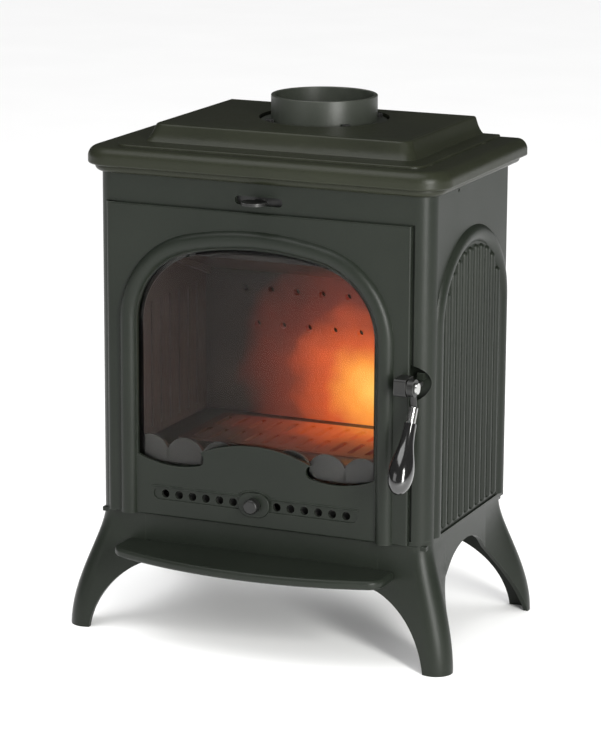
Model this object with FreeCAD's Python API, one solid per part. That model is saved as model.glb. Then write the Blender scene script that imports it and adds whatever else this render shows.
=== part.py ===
import FreeCAD, Part
import math
import os

# Free-standing cast-iron wood stove. Millimetres, +Z up, front towards -Y.
# Drawing frame: X = 0 on the flue centre line, Y = 0 on the front of the
# corner columns, Z = 0 on the floor. The finished pieces are moved along Y
# so that the origin lies under the middle of the whole footprint.

# ---- overall body ----
BODY_HALF_WIDTH = 248.3
BODY_DEPTH = 300.0
SEAM_Z = 177.0
BODY_TOP_Z = 652.0
COLUMN_RADIUS = 24.0
FRAME_WALL = 8.0
PANEL_WALL = 6.0
PANEL_INSET = 3.0
FLOOR_WALL = 6.0
JOINT_GAP = 0.5

# ---- legs ----
LEG_SPAN = 72.0
LEG_WALL = 6.0
FLARE_X = 41.0
FLARE_Y = 30.0
FLARE_SECTIONS = 9
LEG_PAD = 36.0
LEG_PAD_WALL = 6.0
FRONT_ARCH_DROP = 53.0
FRONT_KNEE_X = 84.3
FRONT_KNEE_Z = 20.0
FRONT_SHIN = (22.0, 0.316)
SIDE_LEG_ARCH_DROP = 31.0
SIDE_KNEE_Y = 94.0
SIDE_KNEE_Z = 16.0
SIDE_SHIN = (31.0, 0.345)
FOOT_REACH = 5.7
REAR_FOOT_REACH = 1.0

# ---- door ----
DOOR_LEFT_MARGIN = 15.1
DOOR_RIGHT_MARGIN = 27.5
DOOR_TOP_MARGIN = 39.6
DOOR_DROP = 6.1
DOOR_WALL = 5.0
DOOR_BACK_GAP = 1.0
DOOR_EDGE_RADIUS = 3.0
HINGE_KNUCKLE_RADIUS = 8.5
HINGE_PIN_RADIUS = 3.0
HINGE_LUG_RADIUS = 6.0
HINGE_LUG_HEIGHT = 9.0
HINGE_PIN_DEPTH = 14.0
RUNNING_FIT = 0.06
SWING_CLEARANCE = 0.6

# ---- firebox opening and rope seal ----
APERTURE_SIDE_MARGIN = 36.5
APERTURE_SILL = 18.1
APERTURE_TOP_MARGIN = 26.4
APERTURE_CORNER = 10.0
ROPE_SIZE = 8.0
ROPE_INSET = 1.5
ROPE_GROOVE_DEPTH = 6.0
ROPE_CLEARANCE = 0.5
SEAL_RIB = 5.0

# ---- door arch, glass and lower panel ----
ARCH_SIDE_MARGIN = 34.4
ARCH_TOP_MARGIN = 37.4
ARCH_RISE = 127.2
ARCH_CORNER_RADIUS = 118.4
BEAD_WIDTH = 25.0
BEAD_HEIGHT = 9.0
SIGHT_INSET = 14.1
GLASS_LAP = 7.5
GLASS_THICKNESS = 4.0
GASKET_THICKNESS = 1.0
GLASS_SILL = 61.1
RETAINER_WALL = 2.0
RETAINER_WIDTH = 13.0
HIGH_SCREW_MARGIN = 60.0
LOW_SCREW_MARGIN = 107.0
CREST_HALF_WIDTH = 84.0
CREST_WAIST = 7.0
CREST_PEAK = 115.4
CREST_SHOULDER = 97.6
CREST_FOOT = 78.6
CREST_SAG = 74.7
CREST_END = 87.6

# ---- air register in the door ----
REGISTER_RISE = 32.6
REGISTER_SIDE_MARGIN = 72.5
REGISTER_HEIGHT = 17.0
REGISTER_RECESS = 2.0
REGISTER_HOLE_RADIUS = 6.0
REGISTER_HOLES = 6
REGISTER_FIRST = 33.1
REGISTER_END = 17.75
BOSS_HALF_LENGTH = 24.0
BOSS_HEIGHT = 35.0
BOSS_RISE = 3.0
AIR_TRAVEL = 8.0
AIR_PLATE_WALL = 3.0
AIR_PLATE_LAP = 1.5
AIR_PLATE_HEIGHT = 20.0
SLIDE_CLEARANCE = 0.3
KNOB_RADIUS = 10.5
KNOB_REACH = 13.0
KNOB_STEM_RADIUS = 3.0

# ---- latch handle ----
HANDLE_EDGE = 14.8
HANDLE_PIVOT_Y = -25.0
HANDLE_SHARE = 0.5144
HANDLE_PIVOT_RADIUS = 4.0
HANDLE_EYE_RADIUS = 12.0
HANDLE_EYE_WIDTH = 9.0
HANDLE_NECK_RADIUS = 4.5
FERRULE_LENGTH = 23.0
FERRULE_START = 1.5
FERRULE_RADIUS = 6.5
GRIP_LENGTH = 98.0
GRIP_TOP_RADIUS = 8.5
GRIP_END_RADIUS = 16.5
GRIP_TILT_DEG = 28.0
BRACKET_SCREW_EDGE = 5.5
BRACKET_SCREW_OFFSET = 7.0
TONGUE_LENGTH = 30.0
TONGUE_THICKNESS = 6.0
POCKET_EDGE = 26.3
POCKET_RADIUS = 24.0
POCKET_DEPTH = 16.0
POCKET_WALL = 4.0

# ---- air-wash damper above the door ----
AIRWASH_DROP = 24.0
AIRWASH_X = -3.2
AIRWASH_HALF_LENGTH = 35.4
AIRWASH_HEIGHT = 12.0
AIRWASH_TRAVEL = 26.0
AIRWASH_TONGUE = 12.0
AIRWASH_TAB_RADIUS = 18.0
AIRWASH_TAB_Y = -15.0
AIRWASH_TAB_WALL = 4.0

# ---- side panel relief ----
SIDE_ARCH_SHIFT = 1.2
SIDE_ARCH_MARGIN = 13.6
SIDE_ARCH_TOP_MARGIN = 76.4
SIDE_ARCH_RISE = 111.1
SIDE_ARCH_CORNER = 98.1
SIDE_BEAD_HEIGHT = 6.5
SIDE_RIBS = 10
SIDE_RIB_MARGIN = 27.2
SIDE_RIB_RADIUS = 6.0
SIDE_HOLE_Y = 107.0
SIDE_HOLE_DROP = 7.0

# ---- top casting, cover plate and flue ----
RIM_OVERHANG = 20.3
LIP_HEIGHT = 10.5
RIM_HEIGHT = 24.5
RIM_CORNER_RADIUS = 45.0
RIM_ROUND = 15.0
RIM_REAR = 14.0
LIP_OVERHANG = 10.5
LIP_ROUND = 8.0
LEDGE_INSET = 41.0
LEDGE_FRONT_INSET = 28.0
LEDGE_HEIGHT = 3.0
BLOCK_FOOT_MARGIN = 45.3
BLOCK_TAPER = 13.0
BLOCK_PROFILE = ((-0.04, 0.0), (0.136, 0.30), (0.443, 0.62), (0.681, 0.78), (1.0, 1.0))
BLOCK_FOOT_Y = 46.0
BLOCK_TOP_Y = 60.0
BLOCK_HEIGHT = 23.5
COVER_THICKNESS = 9.5
BLOCK_WALL = 7.0
COVER_SIDE_MARGIN = 5.7
COVER_FRONT_MARGIN = 13.0
COVER_REAR_MARGIN = 4.0
COVER_GAP = 0.6
FLUE_POCKET_OVERRUN = 9.0
FLUE_RADIUS = 75.0
FLUE_WALL = 5.6
FLUE_RISE = 32.1
FLUE_FLANGE = 14.5
FLUE_FLANGE_WALL = 5.0
FLUE_POCKET_GAP = 2.5
FLUE_BOLT_OFFSET = 7.3
FLUE_BOLTS = 4

# ---- fasteners ----
BOLT_RADIUS = 4.0
BOLT_HEAD_RADIUS = 6.4
BOLT_HEAD_HEIGHT = 5.3
BOLT_HOLE_CLEARANCE = 0.2
SCREW_RADIUS = 2.5
SCREW_HEAD_RADIUS = 4.5
SCREW_HEAD_HEIGHT = 3.0
TIE_SIDE_MARGIN = 26.3
TIE_END_MARGIN = 52.0

# ---- firebox lining, grate and ash pan ----
HEARTH_RISE = 93.0
HEARTH_WALL = 8.0
HEARTH_SIDE_MARGIN = 43.3
HEARTH_FRONT_Y = 14.0
HEARTH_REAR_MARGIN = 55.0
GRATE_SIDE_MARGIN = 40.0
GRATE_FRONT_Y = 52.0
GRATE_REAR_MARGIN = 24.0
GRATE_LEDGE = 6.0
GRATE_RISE = 2.0
GRATE_SLOTS = 11
GRATE_SLOT_WIDTH = 8.0
LINER_SIDE_MARGIN = 58.3
LINER_WALL = 8.0
LINER_FRONT_Y = 24.0
LINER_TOP_MARGIN = 107.0
LINER_GROOVES = 6
FIREBACK_REAR_MARGIN = 70.0
FIREBACK_WALL = 10.0
FIREBACK_TOP_MARGIN = 92.0
FIREBACK_HOLE_RADIUS = 4.7
FIREBACK_HOLES = 6
FIREBACK_HOLE_PITCH = 40.0
FIREBACK_ROWS = ((0.462, -7.4), (0.638, -26.4))
BAFFLE_LENGTH = 112.0
BAFFLE_TOP_MARGIN = 132.0
BAFFLE_FALL = 40.0
BAFFLE_WALL = 7.0
RETAINER_Y = 16.0
LOBES = 7
LOBE_SHIFT = -4.0
LOBE_END = 0.5
LOBE_RADIUS = 29.0
LOBE_RISE = 14.0
PAN_SIDE_MARGIN = 34.0
PAN_FRONT_Y = 16.0
PAN_BACK_GAP = 15.0
PAN_RISE = 15.0
PAN_HEADROOM = 18.0
PAN_WALL = 2.0
PAN_SIDE_GAP = 3.0
ASH_WALL = 4.0
ASH_RUNNER = 12.0

# ---- ash shelf ----
SHELF_SIDE_MARGIN = 46.3
SHELF_REACH = 94.0
SHELF_END_REACH = 56.0
SHELF_DROP = 44.0
SHELF_THICKNESS = 13.0
SHELF_WALL = 5.0
SHELF_CORNER = 24.0
SHELF_ROUND = 5.0
SHELF_NOTCH_INSET = 20.0
SHELF_NOTCH_WIDTH = 30.0
SHELF_NOTCH_DEPTH = 6.0

# ---- values worked out from the sizes above ----
LEG_TOP_Z = SEAM_Z - FLOOR_WALL
SKIRT_HALF = BODY_HALF_WIDTH - LEG_SPAN
FRONT_ARCH_TOP = SEAM_Z - FRONT_ARCH_DROP
SIDE_ARCH_TOP = SEAM_Z - SIDE_LEG_ARCH_DROP
DOOR_LEFT_X = -BODY_HALF_WIDTH + DOOR_LEFT_MARGIN
DOOR_RIGHT_X = BODY_HALF_WIDTH - DOOR_RIGHT_MARGIN
DOOR_CENTRE_X = (DOOR_LEFT_X + DOOR_RIGHT_X) / 2.0
DOOR_HALF_WIDTH = (DOOR_RIGHT_X - DOOR_LEFT_X) / 2.0
DOOR_BOTTOM_Z = SEAM_Z - DOOR_DROP
DOOR_TOP_Z = BODY_TOP_Z - DOOR_TOP_MARGIN
DOOR_FRONT_Y = -DOOR_BACK_GAP - DOOR_WALL
DOOR_BACK_Y = -DOOR_BACK_GAP
HINGE_X = DOOR_LEFT_X + HINGE_KNUCKLE_RADIUS
HINGE_Y = DOOR_FRONT_Y + HINGE_KNUCKLE_RADIUS
APERTURE_HALF_WIDTH = DOOR_HALF_WIDTH - APERTURE_SIDE_MARGIN
APERTURE_BOTTOM_Z = DOOR_BOTTOM_Z + APERTURE_SILL
APERTURE_TOP_Z = DOOR_TOP_Z - APERTURE_TOP_MARGIN
ARCH_HALF_WIDTH = DOOR_HALF_WIDTH - ARCH_SIDE_MARGIN
ARCH_TOP_Z = DOOR_TOP_Z - ARCH_TOP_MARGIN
ARCH_SPRING_Z = ARCH_TOP_Z - ARCH_RISE
SIGHT_HALF_WIDTH = ARCH_HALF_WIDTH - SIGHT_INSET
GLASS_BOTTOM_Z = DOOR_BOTTOM_Z + GLASS_SILL
GLASS_FRONT_Y = DOOR_BACK_Y + GASKET_THICKNESS
GLASS_BACK_Y = GLASS_FRONT_Y + GLASS_THICKNESS
CREST_PEAK_Z = DOOR_BOTTOM_Z + CREST_PEAK
CREST_SHOULDER_Z = DOOR_BOTTOM_Z + CREST_SHOULDER
CREST_FOOT_Z = DOOR_BOTTOM_Z + CREST_FOOT
CREST_SAG_Z = DOOR_BOTTOM_Z + CREST_SAG
CREST_END_Z = DOOR_BOTTOM_Z + CREST_END
REGISTER_Z = DOOR_BOTTOM_Z + REGISTER_RISE
REGISTER_HALF_LENGTH = DOOR_HALF_WIDTH - REGISTER_SIDE_MARGIN
REGISTER_PITCH = (REGISTER_HALF_LENGTH - REGISTER_END - REGISTER_FIRST) / (REGISTER_HOLES - 1)
AIR_PLATE_HALF_LENGTH = REGISTER_HALF_LENGTH + AIR_PLATE_LAP
HANDLE_X = BODY_HALF_WIDTH - HANDLE_EDGE
HANDLE_PIVOT_Z = DOOR_BOTTOM_Z + HANDLE_SHARE * (DOOR_TOP_Z - DOOR_BOTTOM_Z)
POCKET_X = BODY_HALF_WIDTH - POCKET_EDGE
AIRWASH_Z = BODY_TOP_Z - AIRWASH_DROP
PANEL_OUT_X = BODY_HALF_WIDTH - PANEL_INSET
PANEL_IN_X = PANEL_OUT_X - PANEL_WALL
SIDE_ARCH_Y = (BODY_DEPTH + COLUMN_RADIUS) / 2.0 + SIDE_ARCH_SHIFT
SIDE_ARCH_HALF_WIDTH = (BODY_DEPTH - COLUMN_RADIUS) / 2.0 - SIDE_ARCH_MARGIN
SIDE_ARCH_CREST_Z = BODY_TOP_Z - SIDE_ARCH_TOP_MARGIN
SIDE_ARCH_SPRING_Z = SIDE_ARCH_CREST_Z - SIDE_ARCH_RISE
SIDE_RIB_PITCH = 2.0 * (SIDE_ARCH_HALF_WIDTH - SIDE_RIB_MARGIN) / (SIDE_RIBS - 1)
RIM_BOTTOM_Z = BODY_TOP_Z + LIP_HEIGHT
RIM_TOP_Z = RIM_BOTTOM_Z + RIM_HEIGHT
LEDGE_TOP_Z = RIM_TOP_Z + LEDGE_HEIGHT
BLOCK_TOP_Z = LEDGE_TOP_Z + BLOCK_HEIGHT
BLOCK_FLOOR_Z = BLOCK_TOP_Z - COVER_THICKNESS
BLOCK_FOOT_HALF = BODY_HALF_WIDTH - BLOCK_FOOT_MARGIN
BLOCK_TOP_HALF = BLOCK_FOOT_HALF - BLOCK_TAPER
COVER_HALF_WIDTH = BLOCK_TOP_HALF - COVER_SIDE_MARGIN
COVER_FRONT_Y = BLOCK_TOP_Y + COVER_FRONT_MARGIN
COVER_REAR_Y = BODY_DEPTH - COVER_REAR_MARGIN
FLUE_TOP_Z = BLOCK_TOP_Z + FLUE_RISE
FLUE_FLANGE_RADIUS = FLUE_RADIUS + FLUE_FLANGE
FLUE_POCKET_RADIUS = FLUE_FLANGE_RADIUS + FLUE_POCKET_GAP
FLUE_Y = BODY_DEPTH + FLUE_POCKET_OVERRUN - FLUE_POCKET_RADIUS
FLUE_BOLT_CIRCLE = FLUE_RADIUS + FLUE_BOLT_OFFSET
TIE_X = BODY_HALF_WIDTH - TIE_SIDE_MARGIN
LINER_X = BODY_HALF_WIDTH - LINER_SIDE_MARGIN
LINER_TOP_Z = BODY_TOP_Z - LINER_TOP_MARGIN
FIREBACK_Y = BODY_DEPTH - FIREBACK_REAR_MARGIN
FIREBACK_TOP_Z = BODY_TOP_Z - FIREBACK_TOP_MARGIN
BAFFLE_FRONT_Y = FIREBACK_Y - BAFFLE_LENGTH
BAFFLE_FRONT_Z = BODY_TOP_Z - BAFFLE_TOP_MARGIN
BAFFLE_REAR_Z = BAFFLE_FRONT_Z - BAFFLE_FALL
HEARTH_Z = SEAM_Z + HEARTH_RISE
HEARTH_HALF_WIDTH = BODY_HALF_WIDTH - HEARTH_SIDE_MARGIN
HEARTH_REAR_Y = BODY_DEPTH - HEARTH_REAR_MARGIN
GRATE_HALF_WIDTH = LINER_X - GRATE_SIDE_MARGIN
GRATE_REAR_Y = FIREBACK_Y - GRATE_REAR_MARGIN
LOBE_PEAK_Z = HEARTH_Z + LOBE_RISE
LOBE_PITCH = 2.0 * (LINER_X - LOBE_RADIUS - LOBE_END) / (LOBES - 1)
PAN_HALF_WIDTH = LINER_X - PAN_SIDE_MARGIN
PAN_LENGTH = HEARTH_REAR_Y - PAN_BACK_GAP - PAN_FRONT_Y
PAN_BOTTOM_Z = SEAM_Z + PAN_RISE
PAN_HEIGHT = HEARTH_Z - HEARTH_WALL - PAN_HEADROOM - PAN_BOTTOM_Z
SHELF_HALF_WIDTH = BODY_HALF_WIDTH - SHELF_SIDE_MARGIN
SHELF_NOTCH_X = SHELF_HALF_WIDTH - SHELF_NOTCH_INSET
SHELF_TOP_Z = SEAM_Z - SHELF_DROP
FRONT_REACH = max(SHELF_REACH, RIM_OVERHANG, FLARE_Y)
REAR_REACH = max(FLARE_Y, RIM_REAR)
Y_SHIFT = (FRONT_REACH - BODY_DEPTH - REAR_REACH) / 2.0


# ---- drawing helpers ----
def vec(x, y, z):
    """Point or direction in the drawing frame."""
    return FreeCAD.Vector(x, y, z)


def box(x0, x1, y0, y1, z0, z1):
    """Block between two corners."""
    return Part.makeBox(x1 - x0, y1 - y0, z1 - z0, vec(x0, y0, z0))


def rod(start, end, radius):
    """Round bar from one point to another."""
    return Part.makeCylinder(radius, (end - start).Length, start, end - start)


def segment(a, b):
    """Straight edge."""
    return Part.LineSegment(a, b).toShape()


def curve(a, middle, b):
    """Circular edge through three points."""
    return Part.Arc(a, middle, b).toShape()


def prism(edges, direction):
    """Solid swept straight from a closed outline."""
    return Part.Face(Part.Wire(edges)).extrude(direction)


def polygon_prism(points, direction):
    """Straight-sided prism on the given corners."""
    return Part.Face(Part.makePolygon(points + [points[0]])).extrude(direction)


def fuse(shapes):
    """One solid from overlapping shapes."""
    return shapes[0].multiFuse(shapes[1:]).removeSplitter()


def cut(shape, tools):
    """Shape with every tool taken away."""
    return shape.cut(Part.makeCompound(tools)) if tools else shape


def mirror_x(shape, x=0.0):
    """Mirror image left to right."""
    return shape.mirror(vec(x, 0, 0), vec(1, 0, 0))


def mirror_depth(shape):
    """Mirror image front to rear about the middle of the body."""
    return shape.mirror(vec(0, BODY_DEPTH / 2.0, 0), vec(0, 1, 0))


def round_edges(shape, radius, chosen):
    """Fillet of the edges whose middle point passes the test."""
    edges = [e for e in shape.Edges if chosen(e.CenterOfMass, e)]
    return shape.makeFillet(radius, edges)


def bolt(head, direction, length, radius=BOLT_RADIUS, head_radius=BOLT_HEAD_RADIUS, height=BOLT_HEAD_HEIGHT):
    """Hexagon bolt whose head sits behind the given point."""
    turn = FreeCAD.Rotation(vec(0, 0, 1), direction)
    corners = [
        head + turn.multVec(vec(head_radius * math.cos(a), head_radius * math.sin(a), 0))
        for a in (math.radians(60 * i) for i in range(6))
    ]
    hexagon = polygon_prism(corners, turn.multVec(vec(0, 0, -height)))
    return fuse([hexagon, rod(head, head + turn.multVec(vec(0, 0, length)), radius)])


def arch_edges(place, centre, half, spring, top, corner, bottom):
    """Edges of a three-centred arch: left leg, three arcs, right leg, then the sill."""
    e = half - corner
    h = top - spring
    big = (e * e + h * h - corner * corner) / (2.0 * (h - corner))
    nx = e / (big - corner)
    nz = (spring - top + big) / (big - corner)
    tangent = (centre + big * nx, top - big + big * nz)
    bend = math.atan2(nz, nx) / 2.0
    elbow = (centre + e + corner * math.cos(bend), spring + corner * math.sin(bend))

    def left(point):
        return place(2.0 * centre - point[0], point[1])

    right_leg = segment(place(centre + half, spring), place(centre + half, bottom))
    left_leg = segment(place(centre - half, bottom), place(centre - half, spring))
    left_bend = curve(place(centre - half, spring), left(elbow), left(tangent))
    crown = curve(left(tangent), place(centre, top), place(*tangent))
    right_bend = curve(place(*tangent), place(*elbow), place(centre + half, spring))
    sill = segment(place(centre + half, bottom), place(centre - half, bottom))
    return [left_leg, left_bend, crown, right_bend, right_leg, sill]


def front_arch(inset, bottom, y0, y1):
    """Prism along Y of the door's arch, moved inwards from the bead's centre line."""
    edges = arch_edges(
        lambda x, z: vec(x, y0, z), DOOR_CENTRE_X, ARCH_HALF_WIDTH - inset,
        ARCH_SPRING_Z, ARCH_TOP_Z - inset, ARCH_CORNER_RADIUS - inset, bottom)
    return prism(edges, vec(0, y1 - y0, 0))


def rounded_box(x0, x1, y0, y1, z0, z1, radius, axis):
    """Block with its four long edges rounded along the named axis."""
    block = box(x0, x1, y0, y1, z0, z1)
    return round_edges(block, radius, lambda c, e: abs(getattr(e.tangentAt(e.FirstParameter), axis)) > 0.9)


# ---- body ----
def body_outline(inset, z, y_rear):
    """Plan outline of the body with its two round front columns."""
    half = BODY_HALF_WIDTH - inset
    radius = COLUMN_RADIUS - inset
    x = BODY_HALF_WIDTH - COLUMN_RADIUS
    y = COLUMN_RADIUS
    s = radius * math.sqrt(0.5)
    front = [
        curve(vec(-half, y, z), vec(-x - s, y - s, z), vec(-x, inset, z)),
        segment(vec(-x, inset, z), vec(x, inset, z)),
        curve(vec(x, inset, z), vec(x + s, y - s, z), vec(half, y, z)),
    ]
    if y_rear <= y:
        return front + [segment(vec(half, y, z), vec(-half, y, z))]
    return front + [
        segment(vec(half, y, z), vec(half, y_rear, z)),
        segment(vec(half, y_rear, z), vec(-half, y_rear, z)),
        segment(vec(-half, y_rear, z), vec(-half, y, z)),
    ]


def hinge_groove():
    """Round channel that the door's hinge edge turns in."""
    radius = HINGE_KNUCKLE_RADIUS + SWING_CLEARANCE
    bottom = DOOR_BOTTOM_Z - SWING_CLEARANCE
    top = DOOR_TOP_Z + SWING_CLEARANCE
    return rod(vec(HINGE_X, HINGE_Y, bottom), vec(HINGE_X, HINGE_Y, top), radius)


def hinge_lug_spans():
    """Lowest and highest level of each hinge lug on the frame."""
    low = max(SEAM_Z, DOOR_BOTTOM_Z + SWING_CLEARANCE)
    high = DOOR_TOP_Z - 2.0 * SWING_CLEARANCE
    return [(low, low + HINGE_LUG_HEIGHT), (high - HINGE_LUG_HEIGHT, high)]


def hinge_lug(z0, z1):
    """Lug with its web, which carries one hinge pin."""
    eye = rod(vec(HINGE_X, HINGE_Y, z0), vec(HINGE_X, HINGE_Y, z1), HINGE_LUG_RADIUS)
    reach = HINGE_KNUCKLE_RADIUS + HINGE_LUG_RADIUS
    web = box(HINGE_X, HINGE_X + reach, HINGE_Y - 2.0, HINGE_Y + HINGE_LUG_RADIUS, z0, z1)
    return fuse([eye, web])


def rope_ring(clearance, y0, y1):
    """Rectangular ring around the firebox opening, as wide as the rope seal."""
    near = ROPE_INSET - clearance
    far = ROPE_INSET + ROPE_SIZE + clearance

    def block(grow, corner):
        x0 = DOOR_CENTRE_X - APERTURE_HALF_WIDTH - grow
        x1 = DOOR_CENTRE_X + APERTURE_HALF_WIDTH + grow
        return rounded_box(x0, x1, y0, y1, APERTURE_BOTTOM_Z - grow, APERTURE_TOP_Z + grow, corner, "y")

    return block(far, APERTURE_CORNER + far).cut(block(near, APERTURE_CORNER + near))


def front_frame():
    """Front casting: columns, door field, damper slot and latch pocket."""
    height = BODY_TOP_Z - SEAM_Z
    up = vec(0, 0, height)
    outer = prism(body_outline(0.0, SEAM_Z, COLUMN_RADIUS), up)
    inner = prism(body_outline(FRAME_WALL, SEAM_Z, COLUMN_RADIUS + 1.0), up)
    skin = outer.cut(inner)
    x0 = DOOR_CENTRE_X - APERTURE_HALF_WIDTH
    x1 = DOOR_CENTRE_X + APERTURE_HALF_WIDTH
    rib = ROPE_INSET + ROPE_SIZE + ROPE_CLEARANCE + 2.0
    seal_rib = box(
        x0 - rib, x1 + rib, FRAME_WALL - 1.0, FRAME_WALL + SEAL_RIB,
        SEAM_Z, APERTURE_TOP_Z + rib)
    hinge_half = HINGE_KNUCKLE_RADIUS + 4.0
    hinge_back = HINGE_Y + HINGE_KNUCKLE_RADIUS + 4.0
    hinge_bar = box(HINGE_X - hinge_half, HINGE_X + hinge_half, FRAME_WALL - 1.0, hinge_back, SEAM_Z, BODY_TOP_Z)
    pocket_out = rod(
        vec(POCKET_X, 0, HANDLE_PIVOT_Z), vec(POCKET_X, POCKET_DEPTH + POCKET_WALL, HANDLE_PIVOT_Z),
        POCKET_RADIUS + POCKET_WALL + 2.0)
    body = fuse([skin, seal_rib, hinge_bar.common(outer), pocket_out.common(outer)])
    pocket = rod(
        vec(POCKET_X, -1.0, HANDLE_PIVOT_Z), vec(POCKET_X, POCKET_DEPTH, HANDLE_PIVOT_Z), POCKET_RADIUS)
    opening = rounded_box(x0, x1, -1.0, 40.0, APERTURE_BOTTOM_Z, APERTURE_TOP_Z, APERTURE_CORNER, "y")
    side_gap = box(
        DOOR_RIGHT_X - 1.0, BODY_HALF_WIDTH - COLUMN_RADIUS + 0.5, -1.0, 3.5,
        SEAM_Z - 1.0, DOOR_TOP_Z + SWING_CLEARANCE)
    body = cut(body, [opening, rope_ring(ROPE_CLEARANCE, -1.0, ROPE_GROOVE_DEPTH), pocket, side_gap,
                      hinge_groove(), airwash_slot(-1.0, FRAME_WALL + 1.0)])
    body = fuse([body] + [hinge_lug(z0, z1) for z0, z1 in hinge_lug_spans()])
    return body.cut(hinge_bore(HINGE_PIN_RADIUS))


def hinge_bore(radius):
    """The two hinge pins' space, in the lugs and in the knuckle."""
    (low, low_top), (high, high_top) = hinge_lug_spans()
    lower = rod(vec(HINGE_X, HINGE_Y, low - 1.0), vec(HINGE_X, HINGE_Y, low_top + HINGE_PIN_DEPTH), radius)
    upper = rod(vec(HINGE_X, HINGE_Y, high - HINGE_PIN_DEPTH), vec(HINGE_X, HINGE_Y, high_top + 1.0), radius)
    return Part.makeCompound([lower, upper])


def hinge_pins():
    """Two loose pins pressed into the frame's lugs."""
    (low, low_top), (high, high_top) = hinge_lug_spans()
    reach = HINGE_PIN_DEPTH - 1.0
    lower = rod(vec(HINGE_X, HINGE_Y, low), vec(HINGE_X, HINGE_Y, low_top + reach), HINGE_PIN_RADIUS)
    upper = rod(vec(HINGE_X, HINGE_Y, high - reach), vec(HINGE_X, HINGE_Y, high_top), HINGE_PIN_RADIUS)
    return Part.makeCompound([lower, upper])


def base_casting():
    """Floor plate with skirts between the legs."""
    floor = prism(body_outline(0.0, LEG_TOP_Z, BODY_DEPTH), vec(0, 0, FLOOR_WALL))
    front = box(-SKIRT_HALF, SKIRT_HALF, 0, LEG_WALL, FRONT_ARCH_TOP - 40.0, LEG_TOP_Z)
    side = box(
        BODY_HALF_WIDTH - LEG_WALL, BODY_HALF_WIDTH, LEG_SPAN, BODY_DEPTH - LEG_SPAN,
        SIDE_ARCH_TOP - 40.0, LEG_TOP_Z)
    body = fuse([floor, front, mirror_depth(front), side, mirror_x(side)])
    holes = [rod(p, p + vec(0, 0, 60), BOLT_RADIUS + BOLT_HOLE_CLEARANCE) for p in leg_bolt_points(120.0)]
    holes += [rod(p, p + vec(0, 0, 60), BOLT_RADIUS) for p in tie_points(120.0)]
    return cut(body, [front_leg_arch(), side_leg_arch(), mirror_x(side_leg_arch()), hinge_groove()] + holes)


def front_leg_arch():
    """Space under the arch between the front legs, and the same at the rear."""
    foot = BODY_HALF_WIDTH + FOOT_REACH
    knee = BODY_HALF_WIDTH - FRONT_KNEE_X
    knee_z = FRONT_ARCH_TOP - FRONT_KNEE_Z
    shin = foot - FRONT_SHIN[0]
    shin_z = SEAM_Z * FRONT_SHIN[1]

    def at(x, z):
        return vec(x, -200.0, z)

    edges = [
        segment(at(-foot, -10), at(-foot, 0)),
        curve(at(-foot, 0), at(-shin, shin_z), at(-knee, knee_z)),
        curve(at(-knee, knee_z), at(0, FRONT_ARCH_TOP), at(knee, knee_z)),
        curve(at(knee, knee_z), at(shin, shin_z), at(foot, 0)),
        segment(at(foot, 0), at(foot, -10)),
        segment(at(foot, -10), at(-foot, -10)),
    ]
    return prism(edges, vec(0, BODY_DEPTH + 400.0, 0))


def side_leg_arch():
    """Space under the arch between a front leg and the rear leg, right side."""
    middle = BODY_DEPTH / 2.0
    foot = middle + REAR_FOOT_REACH
    knee = middle - SIDE_KNEE_Y
    knee_z = SIDE_ARCH_TOP - SIDE_KNEE_Z
    shin = foot - SIDE_SHIN[0]
    shin_z = SEAM_Z * SIDE_SHIN[1]

    def at(y, z):
        return vec(SKIRT_HALF, middle + y, z)

    edges = [
        segment(at(-foot, -10), at(-foot, 0)),
        curve(at(-foot, 0), at(-shin, shin_z), at(-knee, knee_z)),
        curve(at(-knee, knee_z), at(0, SIDE_ARCH_TOP), at(knee, knee_z)),
        curve(at(knee, knee_z), at(shin, shin_z), at(foot, 0)),
        segment(at(foot, 0), at(foot, -10)),
        segment(at(foot, -10), at(-foot, -10)),
    ]
    return prism(edges, vec(2.0 * LEG_SPAN, 0, 0))


def flare(t):
    """Share of the leg's flare and the level, along its curve from seam (0) to foot (1)."""
    share = 3.0 * (1.0 - t) * t * t + t ** 3
    knee_high = LEG_TOP_Z * 0.78
    knee_low = LEG_TOP_Z * 0.40
    level = LEG_TOP_Z * (1 - t) ** 3 + 3 * knee_high * (1 - t) ** 2 * t + 3 * knee_low * (1 - t) * t * t
    return share, level


def tangent_angle(point, centre, radius, side):
    """Angle at which a line from the point touches a circle about the centre."""
    away = point - centre
    return math.remainder(math.atan2(away.y, away.x) + side * math.acos(radius / away.Length), 2.0 * math.pi)


def leg_section(t):
    """Horizontal L section of the front right leg: its corner flares, its two seams stay put."""
    share, z = flare(t)
    seam_front = vec(SKIRT_HALF, 0, z)
    seam_side = vec(BODY_HALF_WIDTH, LEG_SPAN, z)
    centre = vec(
        BODY_HALF_WIDTH - COLUMN_RADIUS + FLARE_X * share, COLUMN_RADIUS - FLARE_Y * share, z)
    first = tangent_angle(seam_front, centre, COLUMN_RADIUS, 1)
    last = tangent_angle(seam_side, centre, COLUMN_RADIUS, -1)

    def around(radius, angle):
        return centre + vec(radius * math.cos(angle), radius * math.sin(angle), 0)

    inner = COLUMN_RADIUS - LEG_WALL
    inner_front = seam_front + vec(0, LEG_WALL / abs(math.sin(first)), 0)
    inner_side = seam_side - vec(LEG_WALL / abs(math.cos(last)), 0, 0)
    middle = (first + last) / 2.0
    return Part.Wire([
        segment(seam_front, around(COLUMN_RADIUS, first)),
        curve(around(COLUMN_RADIUS, first), around(COLUMN_RADIUS, middle), around(COLUMN_RADIUS, last)),
        segment(around(COLUMN_RADIUS, last), seam_side),
        segment(seam_side, inner_side),
        segment(inner_side, around(inner, last)),
        curve(around(inner, last), around(inner, middle), around(inner, first)),
        segment(around(inner, first), inner_front),
        segment(inner_front, seam_front),
    ])


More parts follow.
